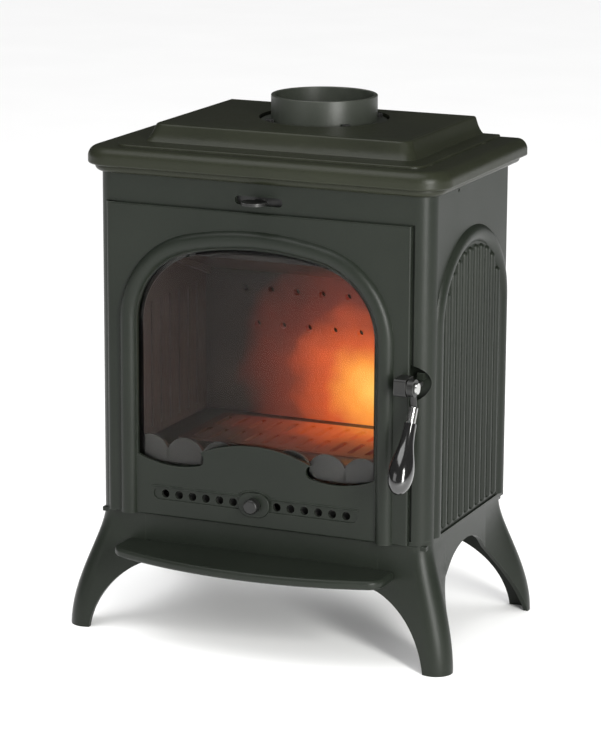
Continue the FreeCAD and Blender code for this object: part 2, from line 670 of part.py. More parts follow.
def leg():
    """Front right leg: flared L-shaped casting with a bolting pad."""
    sections = [leg_section(i / (FLARE_SECTIONS - 1.0)) for i in range(FLARE_SECTIONS)]
    shell = Part.makeLoft(sections, True, False)
    x1 = BODY_HALF_WIDTH - LEG_WALL / 2.0
    pad = box(x1 - LEG_PAD, x1, LEG_WALL / 2.0, LEG_WALL / 2.0 + LEG_PAD, LEG_TOP_Z - LEG_PAD_WALL, LEG_TOP_Z)
    point = leg_bolt_points(LEG_TOP_Z - 60.0)[0]
    hole = rod(point, point + vec(0, 0, 80), BOLT_RADIUS + BOLT_HOLE_CLEARANCE)
    body = fuse([shell, pad])
    front_space = front_leg_arch().common(box(0, 400, -200, LEG_SPAN / 2.0, -10, 400))
    return cut(body, [front_space, side_leg_arch(), hole, hinge_groove(), mirror_x(hinge_groove())])


def leg_bolt_points(z):
    """Centre of each leg's bolt at one level: front right, front left, rear right, rear left."""
    x = BODY_HALF_WIDTH - COLUMN_RADIUS
    y = COLUMN_RADIUS
    return [vec(sx * x, yy, z) for yy in (y, BODY_DEPTH - y) for sx in (1, -1)]


def leg_bolts():
    """Four bolts that hold the legs to the floor plate, with their nuts."""
    solids = []
    for p in leg_bolt_points(LEG_TOP_Z - LEG_PAD_WALL):
        solids.append(bolt(p, vec(0, 0, 1), LEG_PAD_WALL + FLOOR_WALL + 8.0))
    return Part.makeCompound(solids)


def tie_points(z):
    """Centre of each tie rod at one level."""
    return [vec(sx * TIE_X, yy, z) for yy in (TIE_END_MARGIN, BODY_DEPTH - TIE_END_MARGIN) for sx in (1, -1)]


def tie_rods():
    """Four long rods that clamp the top casting to the base, with their heads below."""
    length = RIM_BOTTOM_Z + 10.0 - LEG_TOP_Z
    return Part.makeCompound([bolt(p, vec(0, 0, 1), length) for p in tie_points(LEG_TOP_Z)])


def arch_bead(place, profile, centre, half, spring, top, corner, bottom):
    """Half-round moulding swept along an arch, from one sill to the other."""
    path = Part.Wire(arch_edges(place, centre, half, spring, top, corner, bottom)[:5])
    return path.makePipeShell([profile], True, False)


def side_panel():
    """Right side casting with its arch moulding and upright ribs."""
    plate = box(PANEL_IN_X, PANEL_OUT_X, COLUMN_RADIUS, BODY_DEPTH, SEAM_Z, BODY_TOP_Z)
    y0 = SIDE_ARCH_Y - SIDE_ARCH_HALF_WIDTH
    half = BEAD_WIDTH / 2.0
    root = PANEL_OUT_X - 1.0
    profile = Part.Wire([
        curve(vec(root, y0 - half, SEAM_Z), vec(PANEL_OUT_X + SIDE_BEAD_HEIGHT, y0, SEAM_Z),
              vec(root, y0 + half, SEAM_Z)),
        segment(vec(root, y0 + half, SEAM_Z), vec(root, y0 - half, SEAM_Z)),
    ])
    bead = arch_bead(
        lambda y, z: vec(root, y, z), profile, SIDE_ARCH_Y, SIDE_ARCH_HALF_WIDTH,
        SIDE_ARCH_SPRING_Z, SIDE_ARCH_CREST_Z, SIDE_ARCH_CORNER, SEAM_Z)
    bead = bead.common(box(0, 400, 0, BODY_DEPTH, SEAM_Z, BODY_TOP_Z))
    hole_z = BODY_TOP_Z - SIDE_HOLE_DROP
    hole = rod(vec(PANEL_IN_X - 1, SIDE_HOLE_Y, hole_z), vec(PANEL_OUT_X + 1, SIDE_HOLE_Y, hole_z), SCREW_RADIUS)
    return fuse([plate, bead] + side_ribs()).cut(hole)


def side_ribs():
    """Upright half-round ribs that fill the side arch, each with a domed top."""
    ribs = []
    clear = SIDE_ARCH_HALF_WIDTH - BEAD_WIDTH / 2.0 - SIDE_RIB_RADIUS - 3.0
    rise = SIDE_ARCH_CREST_Z - BEAD_WIDTH / 2.0 - SIDE_RIB_RADIUS - 3.0 - SIDE_ARCH_SPRING_Z
    x = PANEL_OUT_X - 1.0
    for i in range(SIDE_RIBS):
        offset = (i - (SIDE_RIBS - 1) / 2.0) * SIDE_RIB_PITCH
        share = min(1.0, abs(offset) / (clear + 6.0))
        top = SIDE_ARCH_SPRING_Z + rise * math.sqrt(1.0 - share ** 2.2)
        low = vec(x, SIDE_ARCH_Y + offset, SEAM_Z + SIDE_RIB_RADIUS + 4.0)
        high = vec(x, SIDE_ARCH_Y + offset, top)
        ribs += [rod(low, high, SIDE_RIB_RADIUS), Part.makeSphere(SIDE_RIB_RADIUS, low),
                 Part.makeSphere(SIDE_RIB_RADIUS, high)]
    outside = box(PANEL_IN_X + 1.0, PANEL_OUT_X + 20.0, 0, BODY_DEPTH, SEAM_Z, BODY_TOP_Z)
    return [rib.common(outside) for rib in ribs]


def rear_panel():
    """Plain rear casting with a raised border."""
    plate = box(-PANEL_IN_X, PANEL_IN_X, BODY_DEPTH - PANEL_WALL, BODY_DEPTH, SEAM_Z, BODY_TOP_Z)
    border = 30.0
    field = rounded_box(
        -PANEL_IN_X + border, PANEL_IN_X - border, BODY_DEPTH - 2.0, BODY_DEPTH + 1.0,
        SEAM_Z + border, BODY_TOP_Z - border, 12.0, "y")
    return plate.cut(field)


# ---- top ----
def plan_block(half, y0, y1, z0, z1, corner):
    """Slab with rounded front corners in plan."""
    slab = box(-half, half, y0, y1, z0, z1)
    return round_edges(
        slab, corner, lambda c, e: abs(e.tangentAt(e.FirstParameter).z) > 0.9 and c.y < (y0 + y1) / 2.0)


def top_casting():
    """Top plate: moulded rim, ledge, and the raised block that holds the cover plate."""
    rear = BODY_DEPTH + RIM_REAR
    rim_half = BODY_HALF_WIDTH + RIM_OVERHANG
    rim = plan_block(rim_half, -RIM_OVERHANG, rear, RIM_BOTTOM_Z, RIM_TOP_Z, RIM_CORNER_RADIUS)
    rim = round_edges(rim, RIM_ROUND, lambda c, e: c.z > RIM_TOP_Z - 0.01 and c.y < rear - 0.5)
    rim = round_edges(rim, 3.0, lambda c, e: c.z < RIM_BOTTOM_Z + 0.01 and c.y < rear - 0.5)
    lip_half = BODY_HALF_WIDTH + LIP_OVERHANG
    lip = plan_block(
        lip_half, -LIP_OVERHANG, rear - 4.0, BODY_TOP_Z, RIM_BOTTOM_Z + 1.0,
        RIM_CORNER_RADIUS - RIM_OVERHANG + LIP_OVERHANG)
    lip = round_edges(lip, LIP_ROUND, lambda c, e: c.z < BODY_TOP_Z + 0.01 and c.y < rear - 5.0)
    ledge_half = rim_half - LEDGE_INSET
    ledge = plan_block(ledge_half, -RIM_OVERHANG + LEDGE_FRONT_INSET, rear, RIM_TOP_Z - 3.0, LEDGE_TOP_Z, 22.0)
    ledge = round_edges(ledge, 2.2, lambda c, e: c.z > LEDGE_TOP_Z - 0.01 and c.y < rear - 0.5)
    body = fuse([rim, lip, ledge, raised_block(rear)])
    cavity = box(
        -PANEL_IN_X + 6.0, PANEL_IN_X - 6.0, FRAME_WALL + 6.0, BODY_DEPTH - PANEL_WALL - 6.0,
        BODY_TOP_Z - 1.0, RIM_TOP_Z - BLOCK_WALL)
    dome = box(
        -BLOCK_TOP_HALF + BLOCK_WALL, BLOCK_TOP_HALF - BLOCK_WALL, BLOCK_TOP_Y + BLOCK_WALL,
        BODY_DEPTH - PANEL_WALL - 6.0, BODY_TOP_Z - 1.0, BLOCK_FLOOR_Z - BLOCK_WALL)
    seat = box(
        -COVER_HALF_WIDTH - COVER_GAP, COVER_HALF_WIDTH + COVER_GAP, COVER_FRONT_Y - COVER_GAP,
        COVER_REAR_Y + COVER_GAP, BLOCK_FLOOR_Z, BLOCK_TOP_Z + 1.0)
    pocket = rod(vec(0, FLUE_Y, BLOCK_FLOOR_Z), vec(0, FLUE_Y, BLOCK_TOP_Z + 1.0), FLUE_POCKET_RADIUS)
    passage = rod(vec(0, FLUE_Y, BODY_TOP_Z), vec(0, FLUE_Y, BLOCK_TOP_Z), FLUE_RADIUS - FLUE_WALL + 2.0)
    bolts = collar_bolt_points(BLOCK_FLOOR_Z - 30)
    holes = [rod(p, p + vec(0, 0, 40), BOLT_RADIUS + BOLT_HOLE_CLEARANCE) for p in bolts]
    body = cut(body, [cavity, dome, seat, pocket, passage] + holes)
    bosses = [rod(p, p + vec(0, 0, RIM_TOP_Z - 2.0 - BODY_TOP_Z), 9.0) for p in tie_points(BODY_TOP_Z + 3.0)]
    rods = [rod(p, p + vec(0, 0, RIM_BOTTOM_Z + 10.0 - LEG_TOP_Z), BOLT_RADIUS) for p in tie_points(LEG_TOP_Z)]
    return cut(fuse([body] + bosses), rods)


def raised_block(rear):
    """Block with ogee sides that stands on the ledge, cut square at the rear."""
    wires = [block_outline(LEDGE_TOP_Z + up * BLOCK_HEIGHT, share, rear) for up, share in BLOCK_PROFILE]
    solid = Part.makeLoft(wires, True, False)
    top = [e for e in solid.Edges if e.BoundBox.ZMin > BLOCK_TOP_Z - 0.01 and e.CenterOfMass.y < rear - 1.0]
    return solid.makeFillet(4.0, top)


def block_outline(z, share, rear):
    """Plan outline of the raised block, drawn in from foot (0) to top (1)."""
    half = BLOCK_FOOT_HALF + (BLOCK_TOP_HALF - BLOCK_FOOT_HALF) * share
    front = BLOCK_FOOT_Y + (BLOCK_TOP_Y - BLOCK_FOOT_Y) * share
    corner = 16.0
    s = corner * (1.0 - math.sqrt(0.5))
    return Part.Wire([
        segment(vec(-half, rear, z), vec(-half, front + corner, z)),
        curve(vec(-half, front + corner, z), vec(-half + s, front + s, z), vec(-half + corner, front, z)),
        segment(vec(-half + corner, front, z), vec(half - corner, front, z)),
        curve(vec(half - corner, front, z), vec(half - s, front + s, z), vec(half, front + corner, z)),
        segment(vec(half, front + corner, z), vec(half, rear, z)),
        segment(vec(half, rear, z), vec(-half, rear, z)),
    ])


def cover_plate():
    """Loose plate flush with the top of the raised block, cut away around the flue."""
    plate = box(
        -COVER_HALF_WIDTH, COVER_HALF_WIDTH, COVER_FRONT_Y, COVER_REAR_Y, BLOCK_FLOOR_Z, BLOCK_TOP_Z)
    plate = round_edges(plate, 1.0, lambda c, e: c.z > BLOCK_TOP_Z - 0.01)
    return plate.cut(rod(vec(0, FLUE_Y, 0), vec(0, FLUE_Y, 900), FLUE_POCKET_RADIUS))


def collar_bolt_points(z):
    """Centres of the collar's bolts at one level."""
    angles = [math.radians(45.0 + 360.0 * i / FLUE_BOLTS) for i in range(FLUE_BOLTS)]
    return [vec(FLUE_BOLT_CIRCLE * math.cos(a), FLUE_Y + FLUE_BOLT_CIRCLE * math.sin(a), z) for a in angles]


def flue_collar():
    """Flue spigot with its bolted flange."""
    foot = vec(0, FLUE_Y, BLOCK_FLOOR_Z)
    flange = rod(foot, foot + vec(0, 0, FLUE_FLANGE_WALL), FLUE_FLANGE_RADIUS)
    tube = rod(foot, vec(0, FLUE_Y, FLUE_TOP_Z), FLUE_RADIUS)
    body = fuse([flange, tube])
    body = body.cut(rod(foot - vec(0, 0, 1), vec(0, FLUE_Y, FLUE_TOP_Z + 1), FLUE_RADIUS - FLUE_WALL))
    body = round_edges(body, 1.2, lambda c, e: c.z > FLUE_TOP_Z - 0.01)
    bolts = collar_bolt_points(BLOCK_FLOOR_Z - 5)
    holes = [rod(p, p + vec(0, 0, 20), BOLT_RADIUS + BOLT_HOLE_CLEARANCE) for p in bolts]
    return cut(body, holes)


def collar_bolts():
    """Bolts that hold the flue collar down."""
    head = BLOCK_FLOOR_Z + FLUE_FLANGE_WALL
    length = FLUE_FLANGE_WALL + BLOCK_WALL + 4.0
    return Part.makeCompound([bolt(p, vec(0, 0, -1), length) for p in collar_bolt_points(head)])


# ---- firebox ----
def hearth_plate():
    """Plate across the firebox that carries the grate, with a stepped opening."""
    half = HEARTH_HALF_WIDTH
    plate = box(-half, half, HEARTH_FRONT_Y, HEARTH_REAR_Y, HEARTH_Z - HEARTH_WALL, HEARTH_Z)
    seat_z = HEARTH_Z - HEARTH_WALL / 2.0
    seat = box(-GRATE_HALF_WIDTH, GRATE_HALF_WIDTH, GRATE_FRONT_Y, GRATE_REAR_Y, seat_z, HEARTH_Z + 1)
    drop = box(
        -GRATE_HALF_WIDTH + GRATE_LEDGE, GRATE_HALF_WIDTH - GRATE_LEDGE, GRATE_FRONT_Y + GRATE_LEDGE,
        GRATE_REAR_Y - GRATE_LEDGE, HEARTH_Z - HEARTH_WALL - 1, HEARTH_Z + 1)
    return cut(plate, [seat, drop])


def grate():
    """Slotted fire grate that drops into the hearth plate."""
    gap = COVER_GAP
    z0 = HEARTH_Z - HEARTH_WALL / 2.0
    plate = box(
        -GRATE_HALF_WIDTH + gap, GRATE_HALF_WIDTH - gap, GRATE_FRONT_Y + gap, GRATE_REAR_Y - gap,
        z0, HEARTH_Z + GRATE_RISE)
    pitch = 2.0 * (GRATE_HALF_WIDTH - GRATE_LEDGE) / GRATE_SLOTS
    middle = (GRATE_FRONT_Y + GRATE_REAR_Y) / 2.0
    length = (GRATE_REAR_Y - GRATE_FRONT_Y) / 2.0 - GRATE_LEDGE - 10.0
    half = GRATE_SLOT_WIDTH / 2.0
    slots = []
    for i in range(GRATE_SLOTS):
        x = (i - (GRATE_SLOTS - 1) / 2.0) * pitch
        for y0, y1 in ((middle - length, middle - 8.0), (middle + 8.0, middle + length)):
            slots.append(box(x - half, x + half, y0, y1, z0 - 1, HEARTH_Z + 10))
    return cut(plate, slots)


def side_liner():
    """Right firebox liner: grooved plate with a sloping ledge for the baffle."""
    plate = box(LINER_X, LINER_X + LINER_WALL, LINER_FRONT_Y, FIREBACK_Y, HEARTH_Z, LINER_TOP_Z)
    pitch = (FIREBACK_Y - LINER_FRONT_Y) / (LINER_GROOVES + 1.0)
    grooves = []
    for i in range(LINER_GROOVES):
        y = LINER_FRONT_Y + 4.0 + pitch * (i + 0.75)
        grooves.append(box(LINER_X - 1, LINER_X + 2.5, y - 4, y + 4, HEARTH_Z + 12, BAFFLE_REAR_Z - 16))
    top = [vec(LINER_X - 8, BAFFLE_FRONT_Y, BAFFLE_FRONT_Z), vec(LINER_X - 8, FIREBACK_Y, BAFFLE_REAR_Z)]
    low = [top[1] - vec(0, 0, 10), top[0] - vec(0, 0, 10)]
    ledge = polygon_prism(top + low, vec(10, 0, 0))
    return fuse([cut(plate, grooves), ledge])


def baffle():
    """Sloping deflector plate above the fire, resting on the liners' ledges."""
    slope = (BAFFLE_FRONT_Z - BAFFLE_REAR_Z) / (FIREBACK_Y - BAFFLE_FRONT_Y)
    y1 = FIREBACK_Y - 1.0
    z1 = BAFFLE_REAR_Z + slope
    half = LINER_X - 1.0
    points = [
        vec(-half, BAFFLE_FRONT_Y, BAFFLE_FRONT_Z), vec(-half, y1, z1),
        vec(-half, y1, z1 + BAFFLE_WALL), vec(-half, BAFFLE_FRONT_Y, BAFFLE_FRONT_Z + BAFFLE_WALL),
    ]
    return polygon_prism(points, vec(2.0 * half, 0, 0))


def fireback():
    """Rear firebox plate with two staggered rows of secondary air holes."""
    plate = box(
        -LINER_X - LINER_WALL, LINER_X + LINER_WALL, FIREBACK_Y, FIREBACK_Y + FIREBACK_WALL,
        HEARTH_Z, FIREBACK_TOP_Z)
    holes = []
    y0 = FIREBACK_Y - 1.0
    y1 = FIREBACK_Y + FIREBACK_WALL + 1.0
    for share, middle in FIREBACK_ROWS:
        z = HEARTH_Z + share * (FIREBACK_TOP_Z - HEARTH_Z)
        for k in range(FIREBACK_HOLES):
            x = middle + FIREBACK_HOLE_PITCH * (k - (FIREBACK_HOLES - 1) / 2.0)
            holes.append(rod(vec(x, y0, z), vec(x, y1, z), FIREBACK_HOLE_RADIUS))
    return cut(plate, holes)


def log_retainer():
    """Low scalloped plate behind the glass that keeps the fuel back."""
    y1 = RETAINER_Y + LINER_WALL
    half = LINER_X - 2.0
    centre_z = LOBE_PEAK_Z - LOBE_RADIUS
    lobes = []
    for i in range(LOBES):
        x = DOOR_CENTRE_X + LOBE_SHIFT + (i - (LOBES - 1) / 2.0) * LOBE_PITCH
        lobes.append(rod(vec(x, RETAINER_Y, centre_z), vec(x, y1, centre_z), LOBE_RADIUS))
    foot = box(-half, half, RETAINER_Y, y1, HEARTH_Z - 10.0, HEARTH_Z + 2.0)
    above = box(-half, half, RETAINER_Y, y1 + 14.0, HEARTH_Z, LOBE_PEAK_Z + 10.0)
    stand = box(-half, half, RETAINER_Y, y1 + 12.0, HEARTH_Z, HEARTH_Z + 3.0)
    return fuse([fuse(lobes + [foot]).common(above), stand])


def ash_box():
    """Two upright cheeks with runners that carry the hearth plate and guide the ash pan."""
    x0 = PAN_HALF_WIDTH + PAN_SIDE_GAP
    cheek = box(x0, x0 + ASH_WALL, HEARTH_FRONT_Y, HEARTH_REAR_Y, SEAM_Z, HEARTH_Z - HEARTH_WALL)
    runner = box(
        x0 - ASH_RUNNER, x0 + 1.0, HEARTH_FRONT_Y, HEARTH_REAR_Y,
        PAN_BOTTOM_Z - SLIDE_CLEARANCE - ASH_WALL, PAN_BOTTOM_Z - SLIDE_CLEARANCE)
    right = fuse([cheek, runner])
    return Part.makeCompound([right, mirror_x(right)])


def ash_pan():
    """Folded sheet drawer that catches the ash."""
    y1 = PAN_FRONT_Y + PAN_LENGTH
    outer = box(-PAN_HALF_WIDTH, PAN_HALF_WIDTH, PAN_FRONT_Y, y1, PAN_BOTTOM_Z, PAN_BOTTOM_Z + PAN_HEIGHT)
    inner = box(
        -PAN_HALF_WIDTH + PAN_WALL, PAN_HALF_WIDTH - PAN_WALL, PAN_FRONT_Y + PAN_WALL, y1 - PAN_WALL,
        PAN_BOTTOM_Z + PAN_WALL, PAN_BOTTOM_Z + PAN_HEIGHT + 1)
    return outer.cut(inner)


def ash_pan_handle():
    """Strap handle on the front of the ash pan."""
    z = PAN_BOTTOM_Z + PAN_HEIGHT * 0.6
    y = PAN_FRONT_Y
    bar = box(-30, 30, y - 8.0, y - 6.0, z - 6, z + 6)
    legs = [box(sx * 30 - 2, sx * 30 + 2, y - 8.0, y, z - 6, z + 6) for sx in (1, -1)]
    return fuse([bar] + legs)


def ash_shelf():
    """Crescent shelf in front of the base, hollow below, with two notches at its back edge."""
    z0 = SHELF_TOP_Z - SHELF_THICKNESS
    y0 = -JOINT_GAP

    def outline(inset, z):
        half = SHELF_HALF_WIDTH - inset
        back = y0 - inset
        ends = -SHELF_END_REACH + inset
        nose = -SHELF_REACH + inset
        return [
            segment(vec(-half, ends, z), vec(-half, back, z)),
            segment(vec(-half, back, z), vec(half, back, z)),
            segment(vec(half, back, z), vec(half, ends, z)),
            curve(vec(half, ends, z), vec(0, nose, z), vec(-half, ends, z)),
        ]

    slab = prism(outline(0.0, z0), vec(0, 0, SHELF_THICKNESS))
    slab = round_edges(
        slab, SHELF_CORNER,
        lambda c, e: abs(e.tangentAt(e.FirstParameter).z) > 0.9 and c.y < -SHELF_END_REACH + 1.0)
    slab = round_edges(slab, SHELF_ROUND, lambda c, e: c.y < y0 - 1.0 and e.BoundBox.ZLength < 0.1)
    hollow = prism(outline(SHELF_CORNER / 2.0, z0 - 1.0), vec(0, 0, SHELF_THICKNESS - SHELF_WALL + 1.0))
    notch = box(
        SHELF_NOTCH_X - SHELF_NOTCH_WIDTH / 2.0, SHELF_HALF_WIDTH + 1.0,
        y0 - SHELF_NOTCH_DEPTH, 1.0, z0 - 1.0, SHELF_TOP_Z + 1.0)
    return cut(slab, [hollow, notch, mirror_x(notch)])


def shelf_brackets():
    """Two lugs on the base that the shelf rests on."""
    z1 = SHELF_TOP_Z - SHELF_THICKNESS
    half = SHELF_NOTCH_WIDTH / 2.0 - 2.0
    x = SKIRT_HALF - SHELF_NOTCH_WIDTH
    lug = box(x - half, x + half, -SHELF_END_REACH * 0.7, 0.0, z1 - 4.0, z1)
    return Part.makeCompound([lug, mirror_x(lug)])


# ---- door ----
def crest_prism(y0, y1, bottom):
    """Prism along Y of the door's solid lower panel under its scalloped crest."""
    def at(x, z):
        return vec(DOOR_CENTRE_X + x, y0, z)

    far = SIGHT_HALF_WIDTH + 2.0
    dome = CREST_HALF_WIDTH
    middle = (dome + far) / 2.0
    waist = dome - CREST_WAIST
    waist_z = (CREST_SHOULDER_Z + CREST_FOOT_Z) / 2.0
    edges = [
        segment(at(-far, bottom), at(-far, CREST_END_Z)),
        curve(at(-far, CREST_END_Z), at(-middle, CREST_SAG_Z), at(-dome, CREST_FOOT_Z)),
        curve(at(-dome, CREST_FOOT_Z), at(-waist, waist_z), at(-dome, CREST_SHOULDER_Z)),
        curve(at(-dome, CREST_SHOULDER_Z), at(0, CREST_PEAK_Z), at(dome, CREST_SHOULDER_Z)),
        curve(at(dome, CREST_SHOULDER_Z), at(waist, waist_z), at(dome, CREST_FOOT_Z)),
        curve(at(dome, CREST_FOOT_Z), at(middle, CREST_SAG_Z), at(far, CREST_END_Z)),
        segment(at(far, CREST_END_Z), at(far, bottom)),
        segment(at(far, bottom), at(-far, bottom)),
    ]
    return prism(edges, vec(0, y1 - y0, 0))


def oval(centre_x, centre_z, half_length, height, y0, y1):
    """Round-ended bar shape lying along X, swept along Y."""
    r = height / 2.0
    straight = half_length - r
    ends = [rod(vec(centre_x + s * straight, y0, centre_z), vec(centre_x + s * straight, y1, centre_z), r)
            for s in (1, -1)]
    if straight < 0.01:
        return ends[0]
    bar = box(centre_x - straight, centre_x + straight, y0, y1, centre_z - r, centre_z + r)
    return fuse([bar] + ends)


def airwash_slot(y0, y1):
    """Round-ended slot above the door."""
    return oval(AIRWASH_X, AIRWASH_Z, AIRWASH_HALF_LENGTH, AIRWASH_HEIGHT, y0, y1)


def register_holes(y0, y1, shift=0.0):
    """The row of round air holes, both sides of the boss."""
    holes = []
    for side in (1, -1):
        for k in range(REGISTER_HOLES):
            x = DOOR_CENTRE_X + shift + side * (REGISTER_FIRST + REGISTER_PITCH * k)
            holes.append(rod(vec(x, y0, REGISTER_Z), vec(x, y1, REGISTER_Z), REGISTER_HOLE_RADIUS))
    return holes


def retainer_screw_points():
    """X and Z of the screws that hold the glass: two by the arch, two below the glass."""
    high = ARCH_SPRING_Z + ARCH_CORNER_RADIUS * 0.90
    low = GLASS_BOTTOM_Z - SCREW_HEAD_RADIUS - 1.5
    rows = ((DOOR_HALF_WIDTH - HIGH_SCREW_MARGIN, high), (DOOR_HALF_WIDTH - LOW_SCREW_MARGIN, low))
    return [(DOOR_CENTRE_X + sx * x, z) for x, z in rows for sx in (1, -1)]


def knuckle():
    """Hinge edge of the door, cut away where it passes the frame's lugs."""
    bar = rod(vec(HINGE_X, HINGE_Y, DOOR_BOTTOM_Z), vec(HINGE_X, HINGE_Y, DOOR_TOP_Z), HINGE_KNUCKLE_RADIUS)
    (low, low_top), (high, high_top) = hinge_lug_spans()
    spans = [(DOOR_BOTTOM_Z - 1.0, low_top + SWING_CLEARANCE), (high - SWING_CLEARANCE, DOOR_TOP_Z + 1.0)]
    big = HINGE_KNUCKLE_RADIUS + 2.0
    tools = []
    for z0, z1 in spans:
        tools.append(box(HINGE_X - big, HINGE_X + big, HINGE_Y, HINGE_Y + big, z0, z1))
        tools.append(box(HINGE_X, HINGE_X + big, DOOR_BACK_Y, HINGE_Y + big, z0, z1))
    return cut(bar, tools)


def lug_clearance():
    """Space around the frame's hinge lugs, taken out of the door."""
    (low, low_top), (high, high_top) = hinge_lug_spans()
    spans = [(DOOR_BOTTOM_Z - 1.0, low_top + SWING_CLEARANCE), (high - SWING_CLEARANCE, DOOR_TOP_Z + 1.0)]
    return [rod(vec(HINGE_X, HINGE_Y, z0), vec(HINGE_X, HINGE_Y, z1), HINGE_LUG_RADIUS + SWING_CLEARANCE)
            for z0, z1 in spans]


def door_casting():
    """Door leaf with its arch moulding, sight opening, air register and boss."""
    leaf = box(HINGE_X, DOOR_RIGHT_X, DOOR_FRONT_Y, DOOR_BACK_Y, DOOR_BOTTOM_Z, DOOR_TOP_Z)
    leaf = round_edges(
        leaf, DOOR_EDGE_RADIUS, lambda c, e: c.y < DOOR_FRONT_Y + 0.01 and c.x > HINGE_X + 1.0)
    half = BEAD_WIDTH / 2.0
    x0 = DOOR_CENTRE_X - ARCH_HALF_WIDTH
    bottom = DOOR_BOTTOM_Z + 0.5
    root = DOOR_FRONT_Y + 1.0
    profile = Part.Wire([
        curve(vec(x0 - half, root, bottom), vec(x0, DOOR_FRONT_Y - BEAD_HEIGHT, bottom),
              vec(x0 + half, root, bottom)),
        segment(vec(x0 + half, root, bottom), vec(x0 - half, root, bottom)),
    ])
    bead = arch_bead(
        lambda x, z: vec(x, root, z), profile, DOOR_CENTRE_X, ARCH_HALF_WIDTH,
        ARCH_SPRING_Z, ARCH_TOP_Z, ARCH_CORNER_RADIUS, bottom)
    sight = front_arch(ARCH_HALF_WIDTH - SIGHT_HALF_WIDTH, CREST_SAG_Z - 20.0, -40.0, 40.0)
    sight = sight.cut(crest_prism(-50.0, 50.0, CREST_SAG_Z - 30.0))
    boss = oval(DOOR_CENTRE_X, REGISTER_Z, BOSS_HALF_LENGTH, BOSS_HEIGHT,
                DOOR_FRONT_Y - BOSS_RISE, DOOR_FRONT_Y + 3.0)
    boss = round_edges(boss, 1.5, lambda c, e: c.y < DOOR_FRONT_Y - BOSS_RISE + 0.01)
    recess = oval(DOOR_CENTRE_X, REGISTER_Z, REGISTER_HALF_LENGTH, REGISTER_HEIGHT,
                  DOOR_FRONT_Y - 1.0, DOOR_FRONT_Y + REGISTER_RECESS)
    stem_slot = oval(DOOR_CENTRE_X, REGISTER_Z, AIR_TRAVEL + KNOB_STEM_RADIUS + SLIDE_CLEARANCE,
                     2.0 * (KNOB_STEM_RADIUS + SLIDE_CLEARANCE), -40.0, 10.0)
    body = fuse([leaf, knuckle(), bead]).cut(recess)
    points = retainer_screw_points()
    root = DOOR_BACK_Y - 1.0
    posts = [rod(vec(x, root, z), vec(x, GLASS_BACK_Y, z), SCREW_HEAD_RADIUS) for x, z in points]
    body = fuse([body, boss, register_ridge()] + posts)
    screws = [rod(vec(x, root, z), vec(x, GLASS_BACK_Y + 1.0, z), SCREW_RADIUS) for x, z in points]
    body = cut(body, [sight, stem_slot, hinge_bore(HINGE_PIN_RADIUS + RUNNING_FIT)] + lug_clearance()
               + register_holes(-20.0, 10.0) + screws + bracket_screws_space())
    return body


def register_ridge():
    """Thin half-round line above the air register, bowed over the boss."""
    r = 1.6
    y = DOOR_FRONT_Y
    z = REGISTER_Z + REGISTER_HEIGHT / 2.0 + 2.5
    span = BOSS_HALF_LENGTH + 1.0
    rise = REGISTER_Z + BOSS_HEIGHT / 2.0 + 2.5
    x = DOOR_CENTRE_X
    far = REGISTER_HALF_LENGTH
    straight = [rod(vec(x - far, y, z), vec(x - span, y, z), r), rod(vec(x + span, y, z), vec(x + far, y, z), r)]
    bow = Part.Wire([curve(vec(x - span, y, z), vec(x, y, rise), vec(x + span, y, z))])
    start = bow.Edges[0].tangentAt(bow.Edges[0].FirstParameter)
    ring = Part.Wire([Part.makeCircle(r, vec(x - span, y, z), start)])
    balls = [Part.makeSphere(r, vec(x + s * d, y, z)) for d in (span, far) for s in (1, -1)]
    return fuse(straight + [bow.makePipeShell([ring], True, False)] + balls)


def glass_outline_prism(inset, bottom, y0, y1):
    """Prism of the glass outline, moved inwards."""
    return front_arch(ARCH_HALF_WIDTH - SIGHT_HALF_WIDTH - GLASS_LAP + inset, bottom + inset, y0, y1)


def door_glass():
    """Ceramic window behind the door's sight opening."""
    return glass_outline_prism(0.0, GLASS_BOTTOM_Z, GLASS_FRONT_Y, GLASS_BACK_Y)


def glass_gasket():
    """Flat gasket between the glass and the door."""
    outer = glass_outline_prism(0.0, GLASS_BOTTOM_Z, DOOR_BACK_Y, GLASS_FRONT_Y)
    return outer.cut(glass_outline_prism(GLASS_LAP - 1.0, GLASS_BOTTOM_Z + 3.0, DOOR_BACK_Y - 1, GLASS_FRONT_Y + 1))


def glass_retainer():
    """Steel frame with four ears that holds the glass against its gasket."""
    y0 = GLASS_BACK_Y
    y1 = y0 + RETAINER_WALL
    ring = glass_outline_prism(0.0, GLASS_BOTTOM_Z, y0, y1)
    ring = ring.cut(glass_outline_prism(RETAINER_WIDTH, GLASS_BOTTOM_Z, y0 - 1, y1 + 1))
    ears = []
    for x, z in retainer_screw_points():
        inward_z = z + 9.0 if z < GLASS_BOTTOM_Z else z - 18.0
        inward_x = x if z < GLASS_BOTTOM_Z else x - math.copysign(24.0, x - DOOR_CENTRE_X)
        ears.append(rod(vec(x, y0, z), vec(x, y1, z), SCREW_HEAD_RADIUS + 1.0))
        ears.append(strap(x, z, inward_x, inward_z, y0, y1, SCREW_HEAD_RADIUS + 1.0))
    holes = [rod(vec(x, y0 - 1, z), vec(x, y1 + 1, z), SCREW_RADIUS) for x, z in retainer_screw_points()]
    return cut(fuse([ring] + ears), holes)


def strap(x0, z0, x1, z1, y0, y1, half):
    """Flat bar between two places on the back of the door."""
    run = math.hypot(x1 - x0, z1 - z0)
    px = -(z1 - z0) / run * half
    pz = (x1 - x0) / run * half
    corners = [vec(x0 + px, y0, z0 + pz), vec(x1 + px, y0, z1 + pz),
               vec(x1 - px, y0, z1 - pz), vec(x0 - px, y0, z0 - pz)]
    return polygon_prism(corners, vec(0, y1 - y0, 0))


